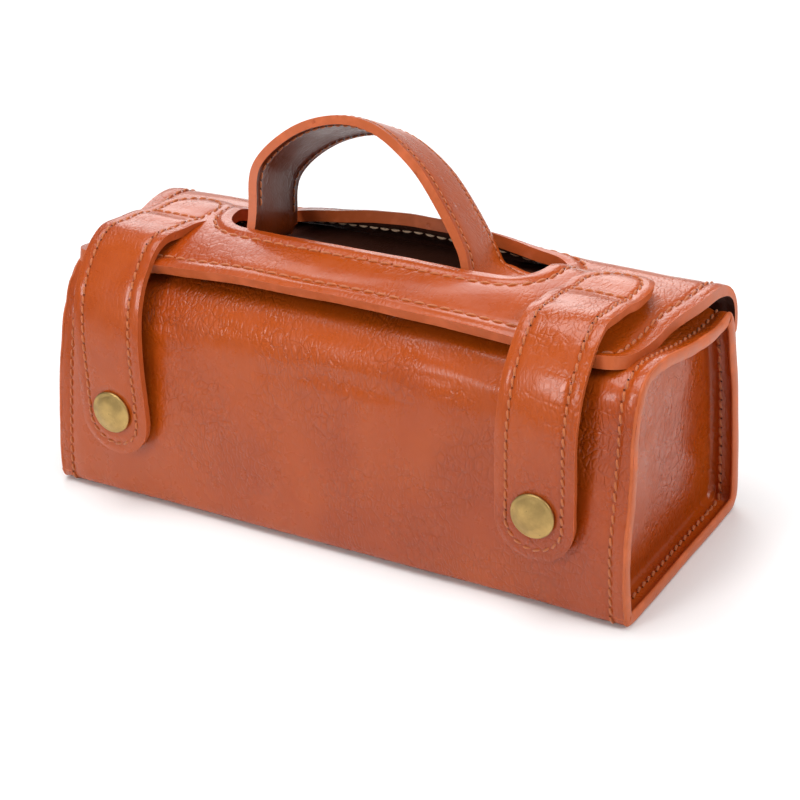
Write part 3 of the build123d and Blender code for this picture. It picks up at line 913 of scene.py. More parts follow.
def make_end_cup(label, side):
    """A recessed end whose edge turns out to line the rim."""
    rows = [[case_surface(side * x, row, -lift) for row in range(ROWS + 1)] for x, lift in CUP_RINGS]
    rows += [inner_rim(side, x, lift) for x, lift in CUP_CORNER]
    rim = inner_rim(side, END_FACE, CUP_LIFT)
    rows += [[end_panel_point(side, point, scale) for point in rim] for scale in CUP_SCALES]
    piece = sheet_grid(label + "_end", rows, closed=True)
    edit(piece)
    bpy.ops.mesh.select_all(action="DESELECT")
    bpy.ops.mesh.select_mode(type="EDGE")
    bpy.ops.mesh.select_non_manifold()
    shape = bmesh.from_edit_mesh(piece.data)
    for edge in shape.edges:
        if edge.select and abs(edge.verts[0].co.x) > (END_FACE + 5) * MM:
            edge.select = False
    bpy.ops.mesh.edge_face_add()
    leave_edit()
    face_out(piece, lambda point: Vector((side, 0, 0)))
    thicken(piece, CUP_THICKNESS, (FINISH["panel"], FINISH["edge"], FINISH["back"]), 0.4)
    finish_piece(piece, "case", "case_leather", label + "_end_panel")
    rows = [[case_surface(side * x, row, lift) for row in range(ROWS + 1)] for x, lift in INNER_RINGS]
    flat = [[end_panel_point(side, point, scale) for point in rim] for scale in CUP_SCALES[::3]]
    for ring in flat:
        for point in ring:
            point.x = side * INNER_FACE
    rows += flat
    inner = sheet_grid(label + "_end_inner", rows, closed=True)
    face_out(inner, lambda point: Vector((side, 0, 0)))
    thicken(inner, INNER_THICKNESS, (FINISH["board"], FINISH["lining"], FINISH["lining"]), 0.0, 0)
    finish_piece(inner, "case", "lining", label + "_end_board", label + "_end_lining")


RIM_SECTION = 12            # points round the painted edge's section
RIM_DEPTH, RIM_HALF = 1.75, 2.2     # middle and half width of the two layers it covers
RECESS_DEPTH = 2.1          # from the outer leather's face to the turned-out edge of the end


def make_rim_edge(label, side):
    """The thick painted edge over both layers of a rim."""
    rings = []
    for k in range(RIM_SECTION + 1):
        angle = 2 * pi * k / RIM_SECTION
        ring = []
        for row in range(ROWS + 1):
            turn = 2 * pi * (row % ROWS) / ROWS
            uneven = waves(6 * cos(turn), 6 * sin(turn), side * 3.0, 2.6)
            fine = waves(21 * cos(turn), 21 * sin(turn), side * 3.0, 6.6)
            half = RIM_HALF * (1 + 0.10 * uneven + 0.05 * fine)
            lift = -RIM_DEPTH + half * sin(angle) + 0.25 * uneven
            point = case_surface(side * HALF_LENGTH, row, lift)
            point.x += side * (0.95 * cos(angle) - 0.35 + 0.25 * fine)
            ring.append(point)
        rings.append(ring)
    piece = sheet_grid(label + "_rim_edge", rings, closed=True)
    turn_faces_out(piece)
    piece.data.materials.append(FINISH["edge"])
    soften(piece)
    finish_piece(piece, "case", "case_leather")


def make_rim_stitches(label, side):
    """The seam that holds a rim: one row on the outside and one on the turned-out edge."""
    steps = ROWS * 2
    places = [(side * (HALF_LENGTH - RIM_SEAM), ROWS * k / steps) for k in range(steps + 1)]

    def recess_surface(x, row, lift):
        return case_surface(x, row, -RECESS_DEPTH - lift)
    for name, surface in (("_rim_stitches", case_surface), ("_recess_stitches", recess_surface)):
        piece = stitch_rows(label + name, [sample_surface(surface, places)])
        finish_piece(piece, "case", "case_leather")


# ---- the lid ----
# The lid and the leather that folds down the back are one sheet. Its second coordinate
# is the depth from the front, and past the back edge it carries on down the back wall.
LID_REACH = 103.5
LID_FRONT, LID_BACK = -30.0, 70.0
SLOT_REACH, SLOT_FRONT, SLOT_BACK = 59.5, -3.7, 30.3
SLOT_CORNER = 12.0
LID_MIDDLE = ((-30.0, -30.0, 87.3), (-26.0, -26.0, 88.4), (-18.0, -18.0, 89.9), (-9.0, -9.0, 91.0),
              (-3.7, -3.7, 91.6), (8.0, 8.0, 91.8), (22.0, 21.9, 91.8), (30.0, 29.7, 90.9),
              (34.0, 32.9, 88.6), (38.0, 35.9, 85.9), (42.0, 38.7, 83.1), (46.0, 41.3, 80.0),
              (50.0, 43.6, 76.7), (54.0, 44.9, 72.9), (60.0, 45.1, 66.9), (70.0, 44.9, 56.9))
LID_SIDE = ((-30.0, -30.0, 85.8), (-26.0, -26.0, 84.4), (-18.0, -18.0, 82.8), (-9.0, -9.0, 82.2),
            (-3.7, -3.7, 82.2), (8.0, 8.0, 83.2), (22.0, 21.8, 84.2), (30.0, 29.8, 84.4),
            (34.0, 33.8, 83.8), (38.0, 37.6, 82.4), (42.0, 41.2, 80.0), (46.0, 44.2, 76.8),
            (50.0, 46.0, 73.2), (54.0, 46.6, 69.4), (60.0, 46.4, 64.6), (70.0, 45.4, 57.4))
LID_FRONT_DIP = ((0, 0.0), (40, -0.5), (62, -1.6), (80.7, -2.4), (94, -1.2), (103, 0.0))
ARCH_MIDDLE, ARCH_REACH = 4.0, 60.0     # the arch behind the slot, along X
LID_FLARE = 4.2          # how far the rear of the sides flares out
LID_SEAM_IN = 5.0        # stitch line in from the lid's edge
SLOT_SEAM_OUT = 5.4      # stitch line out from the slot's edge
UNDER_SEAM_OUT = 7.4     # the same on the underside
TAIL_SHARE = 0.42        # the tail is leather alone, this share of the lid's thickness
LID_FOLD = ((0, 44.8 * MM, 73.0 * MM), (0, 39.0 * MM, 85.0 * MM))     # where the fold bends
LID_PITCH = 4.6          # from stitch to stitch
LID_CORNER, LID_SEAM_CORNER = 9.0, 5.0
SIDE_POINTS = {"long": 46, "short": 14, "corner": 7}


def straight_between(keys, place):
    """A value at a place, straight between its keys and rounded at them."""
    if place <= keys[0][0]:
        return keys[0][1]
    for i, ((low, first), (high, last)) in enumerate(zip(keys, keys[1:])):
        if place <= high:
            before = keys[i - 1][1] if i else first
            after = keys[i + 2][1] if i + 2 < len(keys) else last
            return hermite(before, first, last, after, (place - low) / (high - low))
    return keys[-1][1]


def rounded_distance(x, y, reach, front, back, radius):
    """Signed distance outside a rounded rectangle."""
    centre = (front + back) / 2
    across = abs(x) - (reach - radius)
    along = abs(y - centre) - ((back - front) / 2 - radius)
    outside = hypot(max(across, 0), max(along, 0))
    return outside + min(max(across, along), 0) - radius


def lid_outer_distance(x, depth):
    """Distance in from the lid's outer edge."""
    return -rounded_distance(x, depth, LID_REACH, LID_FRONT, LID_BACK, LID_CORNER)


def lid_slot_distance(x, depth):
    """Distance out from the slot's edge."""
    return rounded_distance(x, depth, SLOT_REACH, SLOT_FRONT, SLOT_BACK, SLOT_CORNER)


def profile_point(keys, depth):
    """A point (y, z) of a profile with (depth, y, z) keys."""
    y = straight_between([(key[0], key[1]) for key in keys], depth)
    z = straight_between([(key[0], key[2]) for key in keys], depth)
    return Vector((0, y, z))


def lid_base(x, depth):
    """The lid's top surface without its seams and unevenness."""
    front_share = smooth((abs(x) - 64) / (LID_REACH - 64))
    rear_share = smooth(min(1.0, (abs(x - ARCH_MIDDLE) / ARCH_REACH) ** 1.2))
    rear = smooth((depth - 8) / 20)
    share = front_share * (1 - rear) + rear_share * rear
    place = profile_point(LID_MIDDLE, depth) * (1 - share) + profile_point(LID_SIDE, depth) * share
    place.z += straight_between(LID_FRONT_DIP, abs(x)) * smooth((-8 - depth) / 20)
    flare = smooth((depth - 2) / 24) * smooth((abs(x) - 70) / (LID_REACH - 70))
    place.x = x * (1 + LID_FLARE / LID_REACH * flare)
    return place


def lid_surface(x, depth, lift=0.0):
    """The lid's top surface in millimetres."""
    place = lid_base(x, depth)
    ahead = lid_base(x, depth + 0.8) - lid_base(x, depth - 0.8)
    outward = Vector((0, -ahead.z, ahead.y)).normalized()
    outer, slot = lid_outer_distance(x, depth), lid_slot_distance(x, depth)
    height = lift - 0.45 * bump(outer - LID_SEAM_IN, 1.0) - 0.42 * bump(slot - SLOT_SEAM_OUT, 1.0)
    height += 0.35 * bump(outer - 2.5, 1.6) + 0.5 * bump(slot - 2.6, 2.0)
    rear = smooth((depth - 24) / 6) * smooth((50 - depth) / 12)
    height += (0.8 * waves(x / 17, depth / 15, 0.0, 6.0) + 0.4) * rear * smooth((66 - abs(x)) / 20)
    height += 0.45 * waves(x / 24, depth / 20, 0.0, 8.0) + 0.14 * waves(x / 8, depth / 8, 0.0, 1.7)
    return place + outward * height


def rounded_outline(reach, front, back, radius):
    """Points round a rounded rectangle, side for side and corner for corner."""
    points = []
    corners = ((reach, front, -90), (reach, back, 0), (-reach, back, 90), (-reach, front, 180))
    hubs = []
    for x, y, start in corners:
        hub = (x - radius * (1 if x > 0 else -1), y + radius * (1 if y == front else -1))
        hubs.append((hub, start))
    for i, (hub, start) in enumerate(hubs):
        count = SIDE_POINTS["corner"]
        for k in range(count):
            angle = radians(start + 90 * k / count)
            points.append((hub[0] + radius * cos(angle), hub[1] + radius * sin(angle)))
        following = hubs[(i + 1) % 4][0]
        angle = radians(start + 90)
        turn = (radius * cos(angle), radius * sin(angle))
        count = SIDE_POINTS["short"] if i % 2 == 0 else SIDE_POINTS["long"]
        for k in range(count):
            share = k / count
            points.append(tuple(a + (b - a) * share + part
                                for a, b, part in zip(hub, following, turn)))
    points.append(points[0])
    return points


SLOT_STEPS = (0.0, 0.7, 1.6, 2.6, 3.6, 4.4, 5.0, 5.4, 5.9, 6.6, 7.6, 9.0)
EDGE_STEPS = (9.0, 7.4, 6.3, 5.6, 5.0, 4.4, 3.6, 2.6, 1.6, 0.7, 0.0)
MIDDLE_STEPS = 11


def lid_rows():
    """Rings of points from the slot's edge out to the lid's edge."""
    inner = rounded_outline(SLOT_REACH, SLOT_FRONT, SLOT_BACK, SLOT_CORNER)
    outer = rounded_outline(LID_REACH, LID_FRONT, LID_BACK, LID_CORNER)
    shares = []
    for a, b in zip(inner, outer):
        length = hypot(b[0] - a[0], b[1] - a[1])
        near = [step / length for step in SLOT_STEPS]
        far = [1 - step / length for step in EDGE_STEPS]
        gap = [near[-1] + (far[0] - near[-1]) * k / MIDDLE_STEPS for k in range(1, MIDDLE_STEPS)]
        shares.append(near + gap + far)
    rings = []
    for k in range(len(shares[0])):
        ring = []
        for a, b, share in zip(inner, outer, shares):
            x = a[0] + (b[0] - a[0]) * share[k]
            depth = a[1] + (b[1] - a[1]) * share[k]
            ring.append(lid_surface(x, depth))
        rings.append(ring)
    return rings


def slot_line(margin):
    """An outline round the slot at a distance from its edge."""
    return rounded_outline(SLOT_REACH + margin, SLOT_FRONT - margin, SLOT_BACK + margin,
                           SLOT_CORNER + 0.8 * margin)


def make_lid():
    """The lid: crowned, drooping at its sides, with the handle slot and the fold at the back."""
    piece = sheet_grid("lid", lid_rows(), closed=True)
    face_out(piece, lambda point: Vector((0, point.y, point.z - 60)))
    thin = piece.vertex_groups.new(name="thickness")
    for vertex in piece.data.vertices:
        height = vertex.co.z / MM
        tail = smooth((vertex.co.y / MM - 36) / 4) * smooth((86 - height) / 10)
        thin.add([vertex.index], 1 - (1 - TAIL_SHARE) * tail, "REPLACE")
    thickness = property_groups().lid_thickness
    thicken(piece, thickness, (FINISH["lid"], FINISH["edge"], FINISH["lid_lining"]), 1.0,
            vertex_group="thickness")
    hang_lid(piece, "lid_leather", "lid_board", "lid_lining", "hinge_fold")
    outer = rounded_outline(LID_REACH - LID_SEAM_IN, LID_FRONT + LID_SEAM_IN,
                            LID_BACK - LID_SEAM_IN, LID_SEAM_CORNER)
    outlines = (outer, slot_line(SLOT_SEAM_OUT))
    rows = [sample_surface(lid_surface, outline) for outline in outlines]
    hang_lid(stitch_rows("lid_stitches", rows, pitch=LID_PITCH, lean=0.14))

    def under(x, depth, lift):
        return lid_surface(x, depth, -thickness - lift)
    rows = [sample_surface(under, slot_line(UNDER_SEAM_OUT))]
    hang_lid(stitch_rows("lid_under_stitches", rows, pitch=LID_PITCH, lean=0.0, thread="pale_thread"))


def hang_lid(piece, *nodes):
    """Bake a piece of the lid into place and hide the imported nodes it stands for."""
    hang_between(piece, ("case", "lid"), *LID_FOLD, "case_leather", *nodes)


# ---- straps ----
STRAP_X = 81.2
# (share of the length, x of the middle): the straps don't lie quite square
STRAP_LINE = {-1: ((0.0, -75.6), (0.2, -78.4), (0.42, -80.8), (0.7, -79.3), (1.0, -78.6)),
              1: ((0.0, 83.2), (0.2, 82.4), (0.45, 82.0), (0.7, 81.8), (1.0, 81.5))}
STRAP_HALF = 13.4
STRAP_SEAM_IN = 3.9      # stitch line in from the strap's edge
# (y, lift above the lid) where the strap is sewn, then (y, z) of its free part
STRAP_ROUTE = ((17.5, 0.35), (12.0, 0.3), (6.0, 0.35), (1.0, 0.3), (-3.5, 0.8), (-8.5, 2.2),
               (-15.2, 3.4))
STRAP_FREE = ((-22.2, 90.2), (-26.1, 88.6), (-29.2, 86.2), (-32.3, 82.9), (-35.4, 79.2),
              (-37.8, 75.6), (-39.8, 71.4), (-41.4, 66.6), (-42.8, 60.0), (-43.5, 51.3),
              (-43.8, 41.6), (-44.1, 33.9), (-44.3, 27.5), (-44.5, 20.2))
STRAP_TWIST = 0.28       # how far one side of the free part stands in front
SNAP_Z, BEND_Z = 36.0, 84.0
CROSS_SEAM = 20.8        # where the fixed part is sewn across
FOLD_RUN = 24.5          # where the free part folds up from the fixed one
STRAP_BEND = ((-24.5, 91.5), (-31.5, 87.0))     # (y, z) where the free part starts to lift
STRAP_PITCH = 3.3
END_TURNS, SEAM_STEPS = 16, 60


def strap_route():
    """The middle of a strap's back face from its rear end to its tip."""
    points = [(0, y, lid_surface(STRAP_X, y).z + lift) for y, lift in STRAP_ROUTE]
    return Route(points + [(0, y, z) for y, z in STRAP_FREE], 12)


STRAP = strap_route()


def strap_half_width(run):
    """Half the strap's width at a length: round at both ends."""
    reach = min(run, STRAP.length - run)
    drop = max(0.0, STRAP_HALF - max(reach, 0.0))
    return sqrt(STRAP_HALF * STRAP_HALF - drop * drop)


def strap_edge_distance(run, across):
    """Distance in from the strap's edge."""
    reach = min(run, STRAP.length - run)
    return STRAP_HALF - hypot(across, max(0.0, STRAP_HALF - reach))


def strap_middle(run, side):
    """X of a strap's middle line at a length."""
    return straight_between(STRAP_LINE[side], run / STRAP.length)


def strap_surface(run, across, lift=0.0, side=1):
    """A strap's outer face, along and across it."""
    point = STRAP.at(run)
    ahead = STRAP.along(run, 1.6)
    outward = Vector((0, ahead.z, -ahead.y))
    inward_edge = strap_edge_distance(run, across)
    height = property_groups().strap_thickness
    height -= 0.42 * bump(inward_edge - STRAP_SEAM_IN, 0.85)
    height += 0.28 * smooth(inward_edge / STRAP_HALF) - 0.35 * bump(inward_edge, 0.9)
    height -= 0.4 * bump(run - CROSS_SEAM, 0.8) * smooth((inward_edge - 2.0) / 2.0)
    height -= 0.5 * bump(run - FOLD_RUN, 2.0) * smooth((inward_edge - 1.0) / 3.0)
    snap = hypot(across, run - SNAP_RUN)
    height += 0.3 * bump(snap - 9.4, 1.4) - 0.35 * bump(snap - 7.4, 1.0)     # pressed in by the cap
    height += 0.3 * waves(run / 16, across / 14, side * 2.0, 2.2)
    height += 0.1 * waves(run / 5, across / 6, side * 2.0, 4.2)
    crinkle = 0.16 * bump(run - BEND_RUN, 12)       # where the strap bends over the edge
    height += crinkle * waves(run / 2.2, across / 7, side * 1.0, 6.0)
    place = point + outward * (height + lift)
    place.x = strap_middle(run, side) + across
    place.y += STRAP_TWIST * smooth((run - BEND_RUN) / 40) * across / STRAP_HALF
    return place


def run_at_height(route, height):
    """The length along a route, from its end, where it passes a height."""
    run = route.length
    while route.at(run).z < height:
        run -= 0.1
    return run


SNAP_RUN = run_at_height(STRAP, SNAP_Z)
BEND_RUN = run_at_height(STRAP, BEND_Z)


def end_spaced(length, radius, steps, pitch):
    """Lengths along a band, close together at its round ends."""
    ends = [radius * (1 - cos(pi / 2 * k / steps)) for k in range(steps)]
    count = round((length - 2 * radius) / pitch)
    middle = [radius + (length - 2 * radius) * k / count for k in range(count + 1)]
    return ends + middle + [length - run for run in reversed(ends)]


BAND_SHARES = (-1.0, -0.955, -0.88, -0.8, -0.745, -0.71, -0.675, -0.62, -0.53, -0.38, -0.19, 0.0,
               0.19, 0.38, 0.53, 0.62, 0.675, 0.71, 0.745, 0.8, 0.88, 0.955, 1.0)


def band_ring(run, surface):
    """Places across a band at one length; near its round ends the columns draw in."""
    half = strap_half_width(run)
    return [surface(run, share * half) for share in BAND_SHARES]


def strap_seam(inset):
    """Places all round a strap at a distance from its middle line."""
    turns = [pi * k / END_TURNS for k in range(END_TURNS + 1)]
    straight = STRAP.length - 2 * STRAP_HALF
    far = STRAP.length - STRAP_HALF
    rear = [(STRAP_HALF - inset * sin(angle), inset * cos(angle)) for angle in turns]
    left = [(STRAP_HALF + straight * k / SEAM_STEPS, -inset) for k in range(1, SEAM_STEPS)]
    tip = [(far + inset * sin(angle), -inset * cos(angle)) for angle in turns]
    right = [(far - straight * k / SEAM_STEPS, inset) for k in range(1, SEAM_STEPS + 1)]
    return rear + left + tip + right


def cross_seam(run, reach):
    """Places straight across a band at one length."""
    return [(run, reach * k / 10) for k in range(-10, 11)]


def make_strap(label, side):
    """One strap: sewn to the lid at its rear, free over the front edge and down the front."""
    def surface(run, across, lift=0.0):
        return strap_surface(run, across, lift, side)
    runs = end_spaced(STRAP.length, STRAP_HALF, 14, 1.5)
    rows = [band_ring(run, surface) for run in runs]
    piece = sheet_grid(label + "_strap", rows)
    merge(piece, 0.02)
    face_out(piece, lambda point: Vector((0, point.y + 10, point.z - 60)))
    thicken(piece, property_groups().strap_thickness,
            (FINISH["strap"], FINISH["edge"], FINISH["back"]), 0.75)
    bend = [(side * STRAP_X * MM, y * MM, z * MM) for y, z in STRAP_BEND]
    hang_between(piece, ("lid", label + "_strap"), *bend, "strap_leather",
                 label + "_strap_anchor", label + "_strap_skin", label + "_strap_backing")
    inset = STRAP_HALF - STRAP_SEAM_IN
    rows = [sample_surface(surface, strap_seam(inset)),
            sample_surface(surface, cross_seam(CROSS_SEAM, inset - 0.8))]
    seam = stitch_rows(label + "_strap_stitches", rows, pitch=STRAP_PITCH)
    hang_between(seam, ("lid", label + "_strap"), *bend, "strap_leather")


# ---- the snap caps ----
# (radius, height) from the rolled rim to the middle of the dome
CAP_PROFILE = ((7.1, -0.4), (7.35, 0.1), (7.5, 0.45), (7.42, 0.8), (7.1, 1.02), (6.6, 1.12),
               (6.2, 1.16), (5.4, 1.5), (4.3, 1.85), (3.0, 2.1), (1.6, 2.24), (0.5, 2.3))
CAP_SIDES = 48


def make_snap_cap(label, side):
    """A domed cap with a rolled rim, turned ring by ring from a circle."""
    clear_selection()
    face = strap_surface(SNAP_RUN, 0.0, 0.0, side)
    forward = (strap_surface(SNAP_RUN, 0.0, 1.0, side) - face).normalized()
    radius, height = CAP_PROFILE[0]
    bpy.ops.mesh.primitive_circle_add(vertices=CAP_SIDES, radius=radius * MM, fill_type="NOTHING",
                                      location=(0, 0, height * MM))
    piece = bpy.context.object
    piece.name = label + "_cap"
    bpy.ops.object.transform_apply(location=True, rotation=True, scale=True)
    bpy.ops.object.mode_set(mode="EDIT")
    bpy.ops.mesh.select_mode(type="EDGE")
    bpy.ops.mesh.select_all(action="SELECT")
    for (old_radius, old_height), (radius, height) in zip(CAP_PROFILE, CAP_PROFILE[1:]):
        rise = (height - old_height) * MM
        bpy.ops.mesh.extrude_region_move(TRANSFORM_OT_translate={"value": (0, 0, rise)})
        bpy.ops.transform.resize(value=(radius / old_radius, radius / old_radius, 1),
                                 center_override=(0, 0, height * MM))
    bpy.ops.mesh.edge_face_add()
    bpy.ops.mesh.select_all(action="SELECT")
    bpy.ops.mesh.normals_make_consistent(inside=False)
    leave_edit()
    turn = Vector((0, 0, 1)).rotation_difference(forward).to_matrix().to_4x4()
    piece.data.transform(Matrix.Translation(face * MM) @ turn)
    piece.data.materials.append(FINISH["brass"])
    face_out(piece, lambda point: forward)
    soften(piece)
    finish_piece(piece, label + "_strap", "snap_brass", label + "_snap_cap")


# ---- the handle ----
HANDLE_LEAN = radians(26.5)
HANDLE_FOOT = (8.3, 79.2)
HANDLE_HALF = 13.6
HANDLE_SEAM_IN = 3.0
HANDLE_PITCH = 2.9
HANDLE_STEPS = 130
HANDLE_BEND = ((0, 8.3 * MM, 83.0 * MM), (0, 8.3 * MM, 93.0 * MM))     # where the legs lean from
FOOT_SEAMS = (4.0, 12.0)        # two seams across each foot, from the handle's end
UNDER_MARGIN = 30.0             # the seams inside the handle start this far from its ends
FOOT_RISE = 1.9                 # middle of the feet above the top panel
FOOT_LEAN = radians(3.8)
# (x, height) of the handle's middle along its slope, foot to foot
HANDLE_ROUTE = ((-68.5, 1.9), (-61.5, 1.9), (-55.2, 2.0), (-50.6, 2.8), (-48.0, 6.6), (-48.9, 14.0),
                (-50.5, 21.5), (-50.3, 27.0), (-47.5, 32.2), (-42.2, 37.6), (-35.6, 42.2),
                (-28.3, 45.3),
                (-20.5, 46.8), (-12.5, 46.4), (-4.1, 44.0), (6.2, 38.3), (14.6, 31.6), (24.5, 21.2),
                (31.4, 12.7), (36.2, 6.2), (40.6, 3.0), (46.0, 2.0), (52.0, 1.9), (57.5, 1.9))
HANDLE = Route([(x, 0, t) for x, t in HANDLE_ROUTE], 10)


def handle_surface(run, across, lift=0.0):
    """The handle's outer face, along and across it, leaning back above its feet."""
    point = HANDLE.at(run)
    ahead = HANDLE.along(run, 1.2)
    outward = Vector((-ahead.z, 0, ahead.x))
    edge = HANDLE_HALF - abs(across)
    height = property_groups().handle_thickness / 2 + lift
    height -= 0.28 * bump(edge - HANDLE_SEAM_IN, 0.8) + 0.25 * bump(edge, 0.9)
    height += 0.22 * smooth(edge / 9) + 0.22 * waves(run / 18, across / 16, 0.0, 5.5)
    flat = point + outward * height
    risen = smooth((point.z - 2.0) / 9.0)
    lean = FOOT_LEAN * (1 - risen) + HANDLE_LEAN * risen
    above = max(0.0, flat.z - FOOT_RISE)
    y = HANDLE_FOOT[0] + sin(HANDLE_LEAN) * above + across * cos(lean)
    z = HANDLE_FOOT[1] + min(flat.z, FOOT_RISE) + above * cos(HANDLE_LEAN) - across * sin(lean)
    return Vector((flat.x, y, z))


def make_handle():
    """The carrying handle with both sewn feet."""
    runs = [HANDLE.length * k / HANDLE_STEPS for k in range(HANDLE_STEPS + 1)]
    rows = [[handle_surface(run, share * HANDLE_HALF) for share in BAND_SHARES] for run in runs]
    piece = sheet_grid("handle", rows)
    face_out(piece, lambda point: Vector((0, 0, 1)))
    thickness = property_groups().handle_thickness
    # the inner face takes the painted-shade copy of the leather
    thicken(piece, thickness, (FINISH["handle"], FINISH["edge"], FINISH["inner"]), 0.7)
    hang_between(piece, ("case", "handle"), *HANDLE_BEND, "strap_leather", "handle_outer",
                 "handle_core", "handle_inner", "left_handle_foot", "right_handle_foot")
    inset = HANDLE_HALF - HANDLE_SEAM_IN

    def under(run, across, lift):
        return handle_surface(run, across, -thickness - lift)
    rows = []
    for across in (-inset, inset):
        for surface, margin in ((handle_surface, FOOT_SEAMS[0]), (under, UNDER_MARGIN)):
            length = HANDLE.length - 2 * margin
            places = [(margin + length * k / HANDLE_STEPS, across) for k in range(HANDLE_STEPS + 1)]
            rows.append(sample_surface(surface, places))
    near, far = FOOT_SEAMS
    for run in (near, far, HANDLE.length - far, HANDLE.length - near):
        rows.append(sample_surface(handle_surface, cross_seam(run, inset)))
    seam = stitch_rows("handle_stitches", rows, pitch=HANDLE_PITCH, lean=0.12, finer=0.62)
    hang_between(seam, ("case", "handle"), *HANDLE_BEND, "strap_leather")


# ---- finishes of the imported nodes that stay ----
NODE_FINISH = {
    "left_snap_stud": "brass", "right_snap_stud": "brass", "left_snap_socket": "brass",
    "right_snap_socket": "brass", "left_snap_backer": "brass", "right_snap_backer": "brass",
    "handle_backing": "board",
}


def finish_nodes():
    """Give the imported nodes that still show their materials."""
    for name, finish in NODE_FINISH.items():
        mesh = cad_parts[name].data
        mesh.materials.clear()
        mesh.materials.append(FINISH[finish])


# ---- the stage ----
CAMERA_PLACE = (340.68, -524.02, 353.27)
CAMERA_RIGHT = (0.8562, 0.5138, -0.0536)
CAMERA_UP = (-0.1927, 0.4140, 0.8896)
CAMERA_BACK = (0.4793, -0.7514, 0.4535)
CAMERA_LENS = 93.48
SURROUND = 0.33             # brightness of the even surround
LIT_POINT = (0, 0, 0.05)    # what every light faces
FLOOR_SIZE, FLOOR_HEIGHT = 6.0, -0.0002     # metres
LIGHTS = (
    # name, place in metres, size in metres, power in watts
    ("overhead softbox", (-0.1, -0.1, 1.25), 0.85, 12.0),
    ("right softbox", (1.05, -0.1, 0.8), 0.45, 6.0),
    ("front softbox", (-0.35, -1.2, 0.75), 0.4, 5.5),
    ("rear softbox", (-0.62, 0.98, 0.68), 0.8, 5.5),
)


def make_camera():
    """The camera, looking at the front and the right end from above."""
    data = bpy.data.cameras.new("camera")
    data.lens = CAMERA_LENS
    data.sensor_width = 36.0
    data.clip_start = 0.01
    camera = bpy.data.objects.new("camera", data)
    bpy.context.scene.collection.objects.link(camera)
    turn = Matrix((CAMERA_RIGHT, CAMERA_UP, CAMERA_BACK)).transposed()
    turn = turn.to_quaternion().normalized().to_matrix()
    camera.matrix_world = Matrix.Translation(Vector(CAMERA_PLACE) * MM) @ turn.to_4x4()
    bpy.context.scene.camera = camera


def make_lights():
    """Large soft lights and an even surround."""
    for name, place, size, power in LIGHTS:
        data = bpy.data.lights.new(name, "AREA")
        data.shape = "SQUARE"
        data.size = size
        data.energy = power
        light = bpy.data.objects.new(name, data)
        bpy.context.scene.collection.objects.link(light)
        light.location = place
        away = Vector(place) - Vector(LIT_POINT)
        light.rotation_euler = away.to_track_quat("Z", "Y").to_euler()
    world = bpy.data.worlds.new("surround")
    world.use_nodes = True
    background = world.node_tree.nodes["Background"]
    background.inputs["Color"].default_value = (1.0, 1.0, 1.0, 1.0)
    background.inputs["Strength"].default_value = SURROUND
    bpy.context.scene.world = world
    bpy.context.scene.view_settings.view_transform = "Standard"


def make_floor():
    """A plain pale floor."""
    clear_selection()
    bpy.ops.mesh.primitive_plane_add(size=FLOOR_SIZE, location=(0, 0, FLOOR_HEIGHT))
    floor = bpy.context.object
    floor.name = "floor"
    material, tree, shader = start_material("Floor")
    place = object_place(tree)
    colour = mix_colour(tree, cloud(tree, place, 3.0), (0.87, 0.87, 0.87), (0.89, 0.89, 0.89))
    tree.links.new(colour, shader.inputs["Base Color"])
    shader.inputs["Roughness"].default_value = 0.9
    shader.inputs["Specular IOR Level"].default_value = 0.1
    floor.data.materials.append(material)


# ---- operators ----
class BuildStage(bpy.types.Operator):
    """Add the camera, the lights and the floor."""

    bl_idname = "brush_case.stage"
    bl_label = "Stage"

    def execute(self, context):
        FINISH.update(make_materials())
        make_camera()
        make_lights()
        make_floor()
        finish_nodes()
        return {"FINISHED"}


class BuildCase(bpy.types.Operator):
    """Add the outer leather, the boards and the lining of the case."""

    bl_idname = "brush_case.case"
    bl_label = "Case"

    def execute(self, context):
        make_case_wrap()
        make_case_inside()
        return {"FINISHED"}


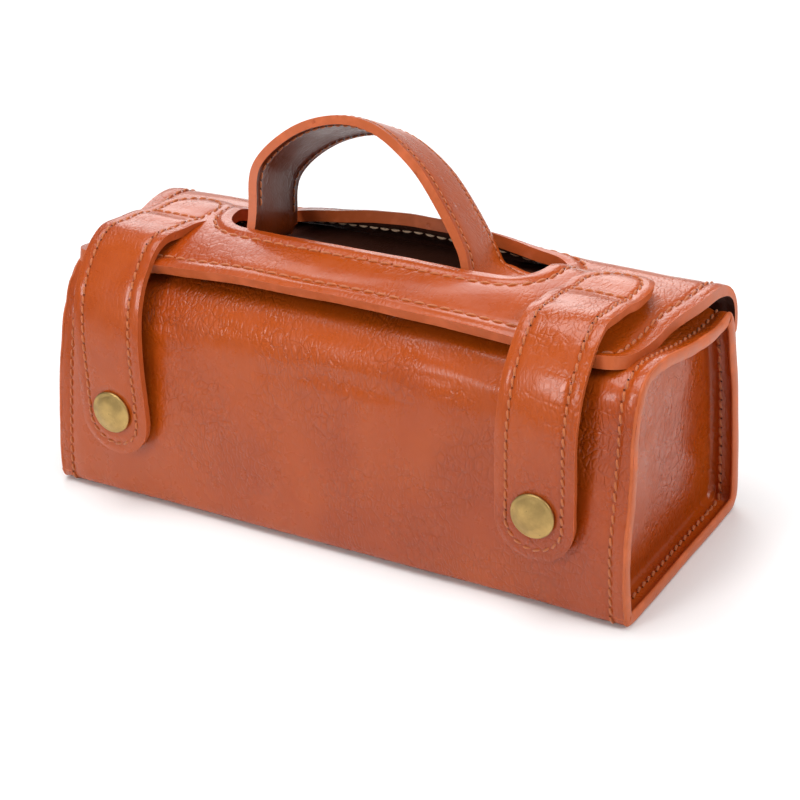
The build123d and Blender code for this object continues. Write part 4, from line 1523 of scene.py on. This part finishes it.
class BuildEnds(bpy.types.Operator):
    """Add both recessed ends and the seams of their rims."""

    bl_idname = "brush_case.ends"
    bl_label = "Ends"

    def execute(self, context):
        for label, side in SIDES.items():
            make_end_cup(label, side)
            make_rim_edge(label, side)
            make_rim_stitches(label, side)
        return {"FINISHED"}


class BuildLid(bpy.types.Operator):
    """Add the lid with its fold and seams."""

    bl_idname = "brush_case.lid"
    bl_label = "Lid"

    def execute(self, context):
        make_lid()
        return {"FINISHED"}


class BuildHandle(bpy.types.Operator):
    """Add the carrying handle."""

    bl_idname = "brush_case.handle"
    bl_label = "Handle"

    def execute(self, context):
        make_handle()
        return {"FINISHED"}


class BuildStraps(bpy.types.Operator):
    """Add both straps with their snap caps."""

    bl_idname = "brush_case.straps"
    bl_label = "Straps"

    def execute(self, context):
        for label, side in SIDES.items():
            make_strap(label, side)
            make_snap_cap(label, side)
        return {"FINISHED"}


STEPS = (BuildStage, BuildCase, BuildEnds, BuildLid, BuildHandle, BuildStraps)


class BrushCasePanel(bpy.types.Panel):
    """Lists the settings and the building steps."""

    bl_idname = "VIEW3D_PT_brush_case"
    bl_label = "Brush case"
    bl_space_type = "VIEW_3D"
    bl_region_type = "UI"
    bl_category = "Brush case"

    def draw(self, context):
        settings = context.scene.brush_case
        for key in BrushCaseSettings.__annotations__:
            self.layout.prop(settings, key)
        for step in STEPS:
            self.layout.operator(step.bl_idname)


CLASSES = (BrushCaseSettings,) + STEPS + (BrushCasePanel,)


def register():
    """Register the settings, the steps and the panel."""
    for item in CLASSES:
        bpy.utils.register_class(item)
    bpy.types.Scene.brush_case = PointerProperty(type=BrushCaseSettings)


def unregister():
    """Take the settings, the steps and the panel away again."""
    del bpy.types.Scene.brush_case
    for item in reversed(CLASSES):
        bpy.utils.unregister_class(item)


def main():
    """Build everything."""
    register()
    bpy.ops.brush_case.stage()
    bpy.ops.brush_case.case()
    bpy.ops.brush_case.ends()
    bpy.ops.brush_case.lid()
    bpy.ops.brush_case.handle()
    bpy.ops.brush_case.straps()


if __name__ == "__main__":
    main()
